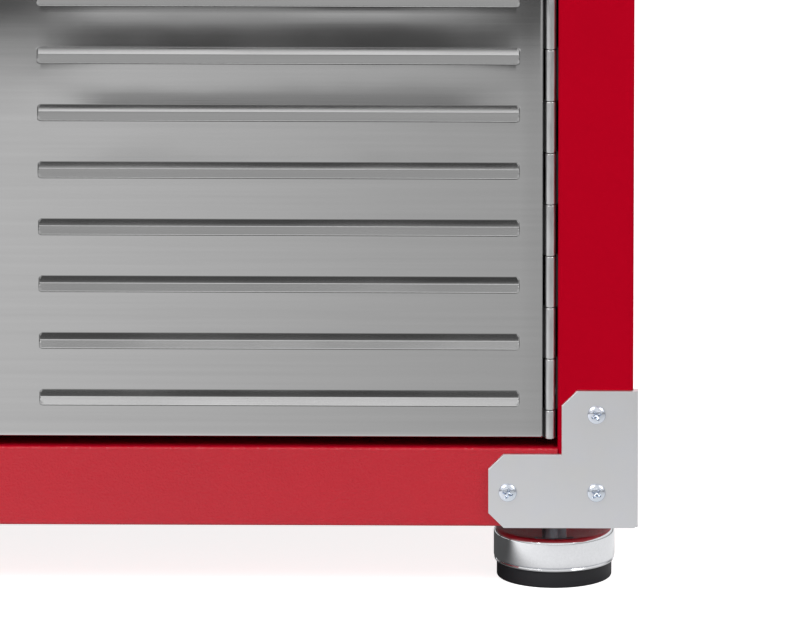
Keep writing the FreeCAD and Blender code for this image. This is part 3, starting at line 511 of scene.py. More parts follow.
@dataclass(frozen=True)
class Galvanised(Finish):
    """Hot-dip galvanised sheet: a spangle of zinc crystals, each its own grey.

    Sizes are in millimetres.
    """

    spangle: float = 6.0
    grain: float = 1.5
    grain_depth: float = 0.005

    def sockets(self, tree: bpy.types.NodeTree, where: bpy.types.NodeSocket) -> dict:
        """Crystals in the colour and gloss, and a fine grain in the surface.

        Args:
            tree: The material's tree.
            where: The object coordinates in metres.

        Returns:
            Values, nodes or sockets by the shader's input names.
        """
        inputs = {"Vector": where, "Scale": per_metre(self.spangle)[0]}
        crystal = add_node(tree, "ShaderNodeTexVoronoi", inputs)
        grey = add_node(tree, "ShaderNodeSeparateColor", {"Color": crystal.outputs["Color"]})
        small = add_node(tree, "ShaderNodeMapping", {"Vector": where, "Scale": per_metre(self.grain)})
        grain = add_node(tree, "ShaderNodeTexNoise", {"Vector": small, "Scale": 1.0, "Detail": 2.0})
        share = add_node(tree, "ShaderNodeMapRange", spread(grey, MIDDLE, (0.0, 1.0)))
        dark, light = self.tones(0.94, 1.04)
        colour = add_node(tree, "ShaderNodeMix", {0: share, 6: dark, 7: light}, data_type="RGBA")
        return {
            "Base Color": colour.outputs[2],
            "Metallic": 1.0,
            "Roughness": add_node(tree, "ShaderNodeMapRange", spread(grey, MIDDLE, self.band(0.03))),
            "Normal": add_node(tree, "ShaderNodeBump", {"Height": grain, "Distance": self.grain_depth * MM}),
        }


@dataclass(frozen=True)
class Moulded(Finish):
    """Moulded rubber or plastic: dark, with the mould's fine grain in its skin.

    The eye sees a soft, slightly uneven sheen. Sizes are in millimetres.
    """

    grain: float = 0.7
    grain_depth: float = 0.03
    cloud: float = 14.0
    specular: float = 0.35

    def sockets(self, tree: bpy.types.NodeTree, where: bpy.types.NodeSocket) -> dict:
        """The grain in the surface, and clouds in its colour and gloss.

        Args:
            tree: The material's tree.
            where: The object coordinates in metres.

        Returns:
            Values, nodes or sockets by the shader's input names.
        """
        small = add_node(tree, "ShaderNodeMapping", {"Vector": where, "Scale": per_metre(self.grain)})
        grain = add_node(tree, "ShaderNodeTexNoise", {"Vector": small, "Scale": 1.0, "Detail": 3.0})
        large = add_node(tree, "ShaderNodeMapping", {"Vector": where, "Scale": per_metre(self.cloud)})
        cloud = add_node(tree, "ShaderNodeTexNoise", {"Vector": large, "Scale": 1.0, "Detail": 2.0})
        share = add_node(tree, "ShaderNodeMapRange", spread(cloud, MIDDLE, (0.0, 1.0)))
        dark, light = self.tones(0.88, 1.15)
        colour = add_node(tree, "ShaderNodeMix", {0: share, 6: dark, 7: light}, data_type="RGBA")
        gloss = (self.roughness - 0.05, self.roughness + 0.08)
        return {
            "Base Color": colour.outputs[2],
            "Roughness": add_node(tree, "ShaderNodeMapRange", spread(cloud, MIDDLE, gloss)),
            "Specular IOR Level": self.specular,
            "Normal": add_node(tree, "ShaderNodeBump", {"Height": grain, "Distance": self.grain_depth * MM}),
        }


class Coat(Enum):
    """The finishes of the cabinet."""

    CASE_RED = PowderCoat("powder_coat_red", "#B0001C", 0.5, specular=0.02)
    # The rail's red is a lighter copy of the case red: painted light for the sheen along the rail. Its peel,
    # gloss and clear coat are real.
    RAIL_RED = PowderCoat(
        "powder_coat_red_rail", "#BA0420", 0.3, peel=1.1, peel_depth=0.45, specular=0.4, clear=0.22
    )
    DOOR_STEEL = BrushedSteel("brushed_stainless_sheet", "#ABABAB", 0.09)
    HANDLE_STEEL = BrushedSteel("brushed_stainless_bar", "#B8B8BA", 0.24, streak=0.4)
    HINGE_STEEL = HingeSteel("rolled_hinge_steel", "#BDBDBE", 0.36)
    BRACKET = SatinPlate("satin_zinc_bracket", "#D6D6D7", 0.4, cool="#D2D3D7")
    SCREW = SatinPlate("bright_zinc_screws", "#D9DCE6", 0.2, cool="#C9D3DC")
    # Painted shade: the studs and jam nuts get a dark grey that stands for the shade under the cabinet.
    SHADED_STUD = SatinPlate("shaded_stud_steel", "#77777B", 0.32, cool="#6A6C72")
    ZINC = SatinPlate("zinc_plated_hardware", "#C2C4C8", 0.32, cool="#B8BEC6")
    CHROME = Polished("chrome_plated_steel", "#E1E2E5", 0.09)
    GALVANISED = Galvanised("galvanised_sheet", "#B7BABD", 0.42)
    RUBBER = Moulded("moulded_rubber", "#1D1D21", 0.6)
    PLASTIC = Moulded("moulded_black_plastic", "#19191B", 0.42, grain=0.5, specular=0.5)


class Slot(Enum):
    """The material slots of the new pieces."""

    STAINLESS = "brushed_stainless"
    CHROME = "chrome_plate"
    RUBBER = "black_rubber"
    HINGE = "hinge_steel"


def dress(piece: bpy.types.Object, coat: Coat) -> None:
    """Give a piece one finish all over.

    Args:
        piece: The mesh object.
        coat: Its finish.
    """
    material = coat.value.make()
    slots = piece.data.materials
    if not slots:
        slots.append(material)
    for number in range(len(slots)):
        slots[number] = material


def seat(piece: bpy.types.Object, body: str, slot: Slot, coat: Coat, *nodes: str) -> None:
    """Dress a new piece, let it ride on a body and stand for CAD nodes.

    Args:
        piece: The new piece.
        body: The CAD body that carries it.
        slot: The slot of its finish; not used.
        coat: Its finish.
        *nodes: The CAD nodes that it replaces.
    """
    dress(piece, coat)
    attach(piece, body)
    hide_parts(*nodes)
    LOG.info("%s stands for %s on %s", piece.name, ", ".join(nodes), body)


# The sub-assemblies


@dataclass
class Case:
    """The folded case with its shelf and fittings, whose CAD shapes stay."""

    panels: tuple[str, ...] = ("right_side_panel", "left_side_panel", "top_panel", "back_panel", "shelf")
    ends: tuple[str, str] = ("bottom", "top")
    sides: tuple[str, str] = ("left", "right")

    def build(self) -> None:
        """Dress the case's nodes."""
        coats = {
            Coat.CASE_RED: (*self.panels, "foot_plates"),
            Coat.RAIL_RED: ("floor_panel",),
            Coat.ZINC: ("back_panel_screws", "shelf_clips", "foot_weld_nuts"),
            Coat.SHADED_STUD: ("foot_jam_nuts",),
            Coat.GALVANISED: ("shelf_standards",),
            Coat.PLASTIC: ("magnet_catches",),
            Coat.BRACKET: tuple(f"bracket_{end}_{side}" for end in self.ends for side in self.sides),
        }
        for coat, names in coats.items():
            for name in names:
                dress(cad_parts[name], coat)
                LOG.info("%s wears %s", name, coat.value.name)


@dataclass
class BracketScrews:
    """The twelve pan-head screws of the corner brackets, with cross recesses, in millimetres.

    Their spots are given from the bracket's outer edge and from its foot, and the
    seed gives each cross its own turn.
    """

    head_radius: float = 4.5
    head_height: float = 2.4
    seat_y: float = -216.8
    arm_half: float = 0.78
    arm_reach: float = 2.6
    recess_depth: float = 2.6
    wall: float = 0.3
    shank_radius: float = 2.5
    shank_length: float = 12.0
    thread_pitch: float = 1.25
    thread_depth: float = 0.28
    rim_height: float = 0.75
    rim_round: float = 0.5
    segments: int = 64
    spots: tuple[tuple[float, float], ...] = ((20.5, 18.0), (20.5, 57.5), (64.1, 18.0))
    seed: int = 7

    def recess(self, x: np.ndarray, y: np.ndarray) -> np.ndarray:
        """The depth of the cross recess at points of the head.

        The depth is the full one inside either arm, and falls to nothing across a
        thin wall round it. Towards an arm's tip it gets shallower in a straight line.

        Args:
            x: Places across the head.
            y: Places up the head.

        Returns:
            The depth at each place.
        """
        reach = np.hypot(x, y)
        across = np.minimum(np.abs(x), np.abs(y)) - self.arm_half * (1 - 0.45 * reach / self.arm_reach)
        inside = np.clip(-across / self.wall + 0.5, 0, 1)
        length = np.clip((self.arm_reach - reach) / self.wall, 0, 1)
        full = self.recess_depth * (1 - 0.62 * np.clip(reach / self.arm_reach, 0, 1))
        return inside * length * full

    def one(self, turn: float) -> tuple[np.ndarray, np.ndarray]:
        """One screw that points along +Z from a seat at 0.

        The head is a polar surface: at the radius r and angle t its height is that
        of a flattened dome, less the recess. The dome is the root of 1 less the
        share of the radius to the power of 2.4. The shank is a turned zigzag.

        Args:
            turn: How far the cross is turned, in radians.

        Returns:
            The points and the faces.
        """
        segments = self.segments
        top = np.concatenate([np.linspace(0.12, 3.0, 15), np.linspace(3.3, self.head_radius - 0.35, 5)])
        rim = fillet((self.head_radius - self.rim_round, self.rim_height), self.rim_round, 55, 0, 4)
        angle = np.arange(segments) * (2 * math.pi / segments)
        radius = np.concatenate([top, rim[:, 0]])
        swell = np.sqrt(np.clip(1 - (top / (self.head_radius + 0.1)) ** 2.4, 0, 1))
        dome = self.rim_height + (self.head_height - self.rim_height) * swell
        height = np.concatenate([dome, rim[:, 1]])
        steps = int(self.shank_length / self.thread_pitch) * 2
        depth = -np.linspace(0.0, self.shank_length, steps + 1)
        thread = self.shank_radius - self.thread_depth * (np.arange(steps + 1) % 2)
        radius = np.concatenate([radius, [self.head_radius], thread, [0.3]])
        height = np.concatenate([height, [0.0], depth, [-self.shank_length - 0.8]])
        x = radius[:, None] * np.cos(angle)
        y = radius[:, None] * np.sin(angle)
        z = height[:, None] + 0 * angle
        z[: len(top)] -= self.recess(x[: len(top)], y[: len(top)])
        turned_x = x * math.cos(turn) - y * math.sin(turn)
        turned_y = x * math.sin(turn) + y * math.cos(turn)
        ring = np.stack([turned_x, turned_y, z], -1)
        points = ring.reshape(-1, 3)
        faces = grid_faces(len(radius), segments, True)[:, ::-1]
        centre = np.array([[0, 0, z[0].mean()], [0, 0, -self.shank_length - 1.0]])
        k = np.arange(segments)
        n = (k + 1) % segments
        low = (len(radius) - 1) * segments
        pole = len(points)
        cap = np.stack([np.full(segments, pole), k, n, n], -1)
        tip = np.stack([np.full(segments, pole + 1), low + n, low + k, low + k], -1)
        return np.vstack([points, centre]), np.vstack([faces, cap, tip])

    def build(self) -> None:
        """Make the twelve screws as one piece."""
        low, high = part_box("bracket_bottom_right")
        right = high.x / MM
        bottom = low.z / MM
        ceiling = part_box("bracket_top_right")[1].z / MM
        turns = iter(np.random.default_rng(self.seed).uniform(0, math.pi / 2, 4 * len(self.spots)))
        parts = []
        for inset, rise in self.spots:
            for x in (right - inset, inset - right):
                for z in (bottom + rise, ceiling - rise):
                    points, faces = self.one(float(next(turns)))
                    placed = [x + points[:, 0], self.seat_y - points[:, 2], z + points[:, 1]]
                    parts.append((np.stack(placed, -1), faces))
        piece = mesh_object("bracket_screw_set", *joined(parts), 28)
        seat(piece, "cabinet", Slot.CHROME, Coat.SCREW, "bracket_screws")


@dataclass
class Door:
    """One door: its ribbed front pan is new, and the rest keeps its CAD shape.

    Sizes are in millimetres. A rib is a groove with a steep wall above and a ramp
    below, whose floor leans back by its two angles in degrees from top to bottom.
    The pan's turned edge hangs lower than the CAD skin by the drop. The grid's
    lines stand close together on a rib's walls and round its ends.
    """

    side: str
    bend: float = 1.7
    sheet: float = 1.0
    drop: float = 1.0
    pitch: float = 28.7
    first: float = 21.2
    depth: float = 1.25
    top_wall: float = 0.6
    groove: float = 4.0
    ramp: float = 4.3
    floor_lean: tuple[float, float] = (5.0, 7.0)
    hollow: float = 0.1
    hollow_end: float = 30.0
    hinge_margin: float = 11.5
    meeting_margin: float = 62.0
    end_wall: float = 0.6
    end_round: float = 2.4
    end_lines: tuple[float, ...] = (-0.4, 0, 0.3, 0.6, 0.9, 1.2, 1.6, 2.0, 2.4, 2.9, 3.5, 4.3)
    wall_lines: tuple[float, ...] = (2.5, 2.05, 2.0, 1.8, 1.6, 1.4)
    floor_lines: tuple[float, ...] = (1.1, 0.6, 0.0, -0.6, -1.2, -1.8, -2.0)
    ramp_lines: tuple[float, ...] = (-2.3, -2.9, -3.6, -4.4, -5.2, -5.8, -6.25, -6.7)
    flat_lines: tuple[float, ...] = (-10, -14, -18, -22)

    def rib_profile(self, t: np.ndarray) -> np.ndarray:
        """The depth of a rib at a height above its groove's middle.

        From the top it falls steeply by the full depth, then the groove's floor
        comes forward in a shallow curve, and a straight ramp ends at the sheet. The
        floor's depth after a run s is the full one less s times the first slope
        and less s squared times the slope's gain.

        Args:
            t: Heights above the groove's middle.

        Returns:
            The depth at each height.
        """
        top = self.groove / 2
        floor_top = top - self.top_wall
        reach = self.groove - self.top_wall
        run = np.clip(floor_top - t, 0, reach)
        first, last = (math.tan(math.radians(angle)) for angle in self.floor_lean)
        gain = (last - first) / (2 * reach)
        floor = self.depth - run * first - run**2 * gain
        lip = self.depth - reach * first - reach**2 * gain
        ramp = lip * np.clip((t + top + self.ramp) / self.ramp, 0, 1)
        wall = self.depth * np.clip((top - t) / self.top_wall, 0, 1)
        return np.where(t > floor_top, wall, np.where(t > -top, floor, ramp))

    def rib_depth(self, x: np.ndarray, t: np.ndarray, left: float, right: float) -> np.ndarray:
        """The depth of a rib at x and at a height t above its middle.

        It is the smaller of the profile's depth and of a slope from the rib's end,
        and that end is drawn in by a quarter circle at the groove's top corner and
        at the ramp's foot.

        Args:
            x: Places across the door.
            t: Heights above the rib's middle.
            left: The rib's left end.
            right: Its right end.

        Returns:
            The depth at each place.
        """
        top = self.groove / 2
        foot = -top - self.ramp
        above = np.clip(t - (top - self.end_round), 0, self.end_round)
        below = np.clip((foot + self.end_round) - t, 0, self.end_round)
        into = self.end_round - np.sqrt(self.end_round**2 - np.maximum(above, below) ** 2)
        near = np.minimum(x - left, right - x) - into
        return np.minimum(self.rib_profile(t), self.depth * np.clip(near / self.end_wall, 0, 1))

    def lines(self, low: float, high: float, inner: np.ndarray) -> tuple[np.ndarray, np.ndarray]:
        """Place the grid's lines one way, with five close ones round each bend.

        Args:
            low: The pan's lower or left edge.
            high: Its upper or right edge.
            inner: The lines between the bends.

        Returns:
            The places, and the bend's angle at each.
        """
        arc = np.linspace(math.pi / 2, 0, 6)
        left = low + self.bend - self.bend * np.sin(arc)
        right = high - self.bend + self.bend * np.sin(arc[::-1])
        inside = inner[(inner > low + self.bend + 0.2) & (inner < high - self.bend - 0.2)]
        places = np.concatenate([left, inside, right])
        angles = np.concatenate([arc, 0 * inside, arc[::-1]])
        return places, angles

    def front(self, low: np.ndarray, high: np.ndarray) -> np.ndarray:
        """Work out the pan's front as one height field.

        At a line with the bend angles a and b the front lies at
        yf + r (1 - cos a cos b), plus the ribs' depth and the slight hollow of the
        sheet between two ribs.

        Args:
            low: The CAD skin's lowest corner, as on the right door.
            high: Its highest corner.

        Returns:
            The grid of points, by row, column and axis.
        """
        left = low[0] + self.meeting_margin
        right = high[0] - self.hinge_margin
        end = np.array(self.end_lines)
        wide = [np.linspace(low[0], left - 4, 7), np.linspace(left + 6, right - 6, 26)]
        xs, a = self.lines(low[0], high[0], np.unique(np.concatenate([*wide, left + end, right - end])))
        count = int((high[2] - low[2] - 2 * self.first) / self.pitch + 0.001) + 1
        middles = low[2] + self.first + self.pitch * np.arange(count)
        across = np.array(self.wall_lines + self.floor_lines + self.ramp_lines + self.flat_lines)
        zs, b = self.lines(low[2] - self.drop, high[2], np.unique((middles[:, None] + across).ravel()))
        gx, gz = np.meshgrid(xs, zs)
        ga, gb = np.meshgrid(a, b)
        rise = (gz - middles[0]) / self.pitch
        t = gz - middles[0] - np.clip(np.rint(rise), 0, count - 1) * self.pitch
        below = gz - middles[0] - np.clip(np.floor(rise), 0, count - 1) * self.pitch
        dent = np.maximum(self.rib_depth(gx, t, left, right), self.rib_depth(gx, below, left, right))
        flat = self.pitch - self.groove - self.ramp
        share = np.clip((below - self.groove / 2) / flat, 0, 1)
        fade = np.clip(np.minimum(gx - left, right - gx) / self.hollow_end, 0, 1)
        hollow = self.hollow * np.sin(math.pi * share) * fade
        gy = low[1] + self.bend * (1 - np.cos(ga) * np.cos(gb)) + dent + hollow
        return np.stack([gx, gy, gz], -1)

    def pan(self) -> None:
        """Make the pan: its front, turned straight back at the border.

        The sheet gets its thickness inwards.
        """
        node = f"{self.side}_door_skin"
        low, high = (np.array(corner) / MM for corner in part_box(node))
        mirrored = self.side == "left"
        if mirrored:
            low[0], high[0] = -high[0], -low[0]
        front = self.front(low, high)
        rows, columns = front.shape[:2]
        number = np.arange(rows * columns).reshape(rows, columns)
        border = np.concatenate([number[0, :-1], number[:-1, -1], number[-1, :0:-1], number[:0:-1, 0]])
        points = front.reshape(-1, 3)
        back = points[border].copy()
        back[:, 1] = high[1]
        ahead = np.arange(len(border))
        after = (ahead + 1) % len(border)
        base = len(points)
        ring = np.stack([border[after], border[ahead], base + ahead, base + after], -1)
        points = np.vstack([points, back])
        faces = np.vstack([grid_faces(rows, columns, False), ring])
        if mirrored:
            points = points * [-1, 1, 1]
            faces = faces[:, ::-1]
        piece = mesh_object(f"{self.side}_door_pan", points, faces, 24)
        wall = piece.modifiers.new("sheet", "SOLIDIFY")
        wall.thickness = self.sheet * MM
        wall.offset = -1.0
        seat(piece, f"{self.side}_door", Slot.STAINLESS, Coat.DOOR_STEEL, node)

    def build(self) -> None:
        """Make the pan and dress the door's other pieces."""
        self.pan()
        coats = {
            "door_liner": Coat.GALVANISED,
            "door_handle": Coat.HANDLE_STEEL,
            "handle_screws": Coat.ZINC,
            "strike_plate": Coat.ZINC,
            "hinge_pin": Coat.HINGE_STEEL,
            "hinge_door_rivets": Coat.ZINC,
        }
        for name, coat in coats.items():
            dress(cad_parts[f"{self.side}_{name}"], coat)
            LOG.info("%s_%s wears %s", self.side, name, coat.value.name)


@dataclass
class HingeLeaf:
    """One leaf of a continuous hinge: a plate with every other knuckle rolled from it.

    Sizes are in millimetres.
    """

    side: str
    part: str
    radius: float = 2.62
    bore: float = 1.25
    rounding: float = 0.4
    first_end: float = 14.5
    pitch: float = 25.9
    joint: float = 0.35
    sheet: float = 1.0
    web_inset: float = 0.1
    segments: int = 40

    def spans(self, low: float, high: float) -> np.ndarray:
        """The lower and upper ends of all the knuckles.

        Args:
            low: The hinge's foot.
            high: Its top.

        Returns:
            One row per knuckle.
        """
        joints = np.arange(low + self.first_end, high - self.first_end / 2, self.pitch)
        starts = np.concatenate([[low], joints + self.joint / 2])
        ends = np.concatenate([joints - self.joint / 2, [high]])
        return np.stack([starts, ends], -1)

    def knuckle(self, length: float) -> np.ndarray:
        """The profile of a rolled knuckle with rounded ends.

        Args:
            length: Its length along the pin.

        Returns:
            Radii and heights.
        """
        inner = self.radius - self.rounding
        foot = fillet((inner, self.rounding), self.rounding, -90, 0, 5)
        top = fillet((inner, length - self.rounding), self.rounding, 0, 90, 5)
        return np.vstack([[[self.bore, 0.0]], foot, top, [[self.bore, length]]])

    def build(self) -> None:
        """Make the leaf on the pin's axis, between its face and the pin."""
        pin_low, pin_high = (np.array(c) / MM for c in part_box(f"{self.side}_hinge_pin"))
        node = f"{self.side}_hinge_{self.part}_leaf"
        low, high = (np.array(c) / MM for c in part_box(node))
        mirrored = self.side == "left"
        axis_x = abs(pin_low[0] + pin_high[0]) / 2
        axis_y = (pin_low[1] + pin_high[1]) / 2
        frame_side = self.part == "frame"
        edges = (abs(low[0]), abs(high[0]))
        face = max(edges) if frame_side else min(edges)
        inner = face - self.sheet if frame_side else face + self.sheet
        behind = axis_y + self.radius - self.sheet / 2
        parts = [box_mesh((min(face, inner), behind, low[2]), (max(face, inner), high[1], high[2]))]
        spans = self.spans(pin_low[2], pin_high[2])
        for start, end in spans[0 if frame_side else 1 :: 2]:
            points, faces = lathe(self.knuckle(end - start), self.segments)
            parts.append((points + [axis_x, axis_y, start], faces))
            near, far = min(axis_x, face), max(axis_x, face)
            web_low = (near, behind, start + self.web_inset)
            web_high = (far, behind + self.sheet, end - self.web_inset)
            parts.append(box_mesh(web_low, web_high))
        points, faces = joined(parts)
        if mirrored:
            points = points * [-1, 1, 1]
            faces = faces[:, ::-1]
        piece = mesh_object(f"{self.side}_{self.part}_leaf_rolled", points, faces, 32)
        body = "cabinet" if frame_side else f"{self.side}_door"
        seat(piece, body, Slot.HINGE, Coat.HINGE_STEEL, node)


@dataclass
class Locks:
    """The cam lock, the slide bolt and the frame's rivets, whose CAD shapes stay."""

    def build(self) -> None:
        """Dress the nodes."""
        coats = {
            Coat.CHROME: ("lock_barrel", "lock_plug", "left_bolt_rod"),
            Coat.ZINC: ("lock_cam", "lock_cam_screw", "lock_nut", "left_bolt_housing", "hinge_frame_rivets"),
        }
        for coat, names in coats.items():
            for name in names:
                dress(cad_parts[name], coat)
                LOG.info("%s wears %s", name, coat.value.name)


@dataclass
class LevellingFoot:
    """One levelling foot: a chromed cup over a rubber pad, on a threaded stud.

    Sizes are in millimetres.
    """

    corner: str
    cup_radius: float = 30.0
    cup_round: float = 2.6
    cup_wall: float = 1.6
    cup_chamfer: float = 1.3
    stud_hole: float = 6.1
    pad_inset: float = 1.5
    pad_round: float = 1.1
    segments: int = 128

    def cup(self, low: float, high: float) -> np.ndarray:
        """The cup's profile: a dished top, a rounded shoulder, a drawn-in foot.

        Args:
            low: The height of its lower edge.
            high: The height of its top.

        Returns:
            Radii and heights.
        """
        r = self.cup_radius
        wall = self.cup_wall
        shoulder = fillet((r - self.cup_round, high - self.cup_round), self.cup_round, 0, 90, 9)
        bead = np.array([[self.cup_chamfer, 0.0], [0.5, 0.25], [0.25, 0.9], [0.5, 1.5]])
        neck = np.array([[0.9, 1.75], [0.1, 2.2], [0.0, 2.6]])
        foot = [r, low] + np.vstack([bead, neck]) * [-1, 1]
        top = np.array([[r - 7, high - 0.25], [14, high - 0.9], [self.stud_hole, high - 1.0]])
        under = np.array([[self.stud_hole, high - 1 - wall], [r - 5, high - wall - 0.9]])
        inner = np.array([[r - wall - 0.6, high - wall - 2.5], [r - wall - self.cup_chamfer, low]])
        return np.vstack([foot, shoulder, top, under, inner])

    def pad(self, low: float, high: float) -> np.ndarray:
        """The pad's profile: a rounded lower edge and a plug that fills the cup.

        Args:
            low: The height of its underside.
            high: The height of the cup's lower edge.

        Returns:
            Radii and heights.
        """
        r = self.cup_radius - self.pad_inset
        edge = fillet((r - self.pad_round, low + self.pad_round), self.pad_round, -90, 0, 7)
        sides = np.array([[r, high - 0.5], [r - 0.5, high], [r - 2.0, high]])
        plug = np.array([[r - 2.0, high + 5.0], [self.stud_hole + 3.4, high + 5.0]])
        seat = np.array([[self.stud_hole + 3.4, low + 1.2], [3.0, low + 1.2], [3.0, low]])
        return np.vstack([edge, sides, plug, seat])

    def turned(self, name: str, profile: np.ndarray, middle: np.ndarray) -> bpy.types.Object:
        """Turn a profile about the foot's own axis.

        Args:
            name: The piece's name.
            profile: Radii and heights.
            middle: The middle of the foot's box.

        Returns:
            The piece.
        """
        points, faces = lathe(profile, self.segments)
        return mesh_object(name, points + [middle[0], middle[1], 0], faces, 32)

    def build(self) -> None:
        """Make the cup and the pad, and dress the stud."""
        low, high = (np.array(c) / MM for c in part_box(f"foot_cup_{self.corner}"))
        middle = (low + high) / 2
        body = f"foot_{self.corner}"
        cup = self.turned(f"chrome_cup_{self.corner}", self.cup(low[2], high[2]), middle)
        seat(cup, body, Slot.CHROME, Coat.CHROME, f"foot_cup_{self.corner}")
        pad = self.turned(f"rubber_pad_{self.corner}", self.pad(0.0, low[2]), middle)
        seat(pad, body, Slot.RUBBER, Coat.RUBBER, f"foot_pad_{self.corner}")
        dress(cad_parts[f"foot_stud_{self.corner}"], Coat.SHADED_STUD)


@dataclass(frozen=True)
class SoftLamp:
    """A square soft lamp that looks at the cabinet's middle."""

    name: str
    where: tuple[float, float, float]
    size: float
    power: float

    def hang(self) -> None:
        """Make the lamp and turn it to the cabinet's middle."""
        data = bpy.data.lights.new(self.name, "AREA")
        data.shape = "SQUARE"
        data.size = self.size
        data.energy = self.power
        lamp = bpy.data.objects.new(self.name, data)
        bpy.context.scene.collection.objects.link(lamp)
        lamp.location = self.where
        towards = np.array([0.1, 0.0, 0.4]) - np.array(self.where)
        lamp.rotation_euler = Vector(towards.tolist()).to_track_quat("-Z", "Y").to_euler()


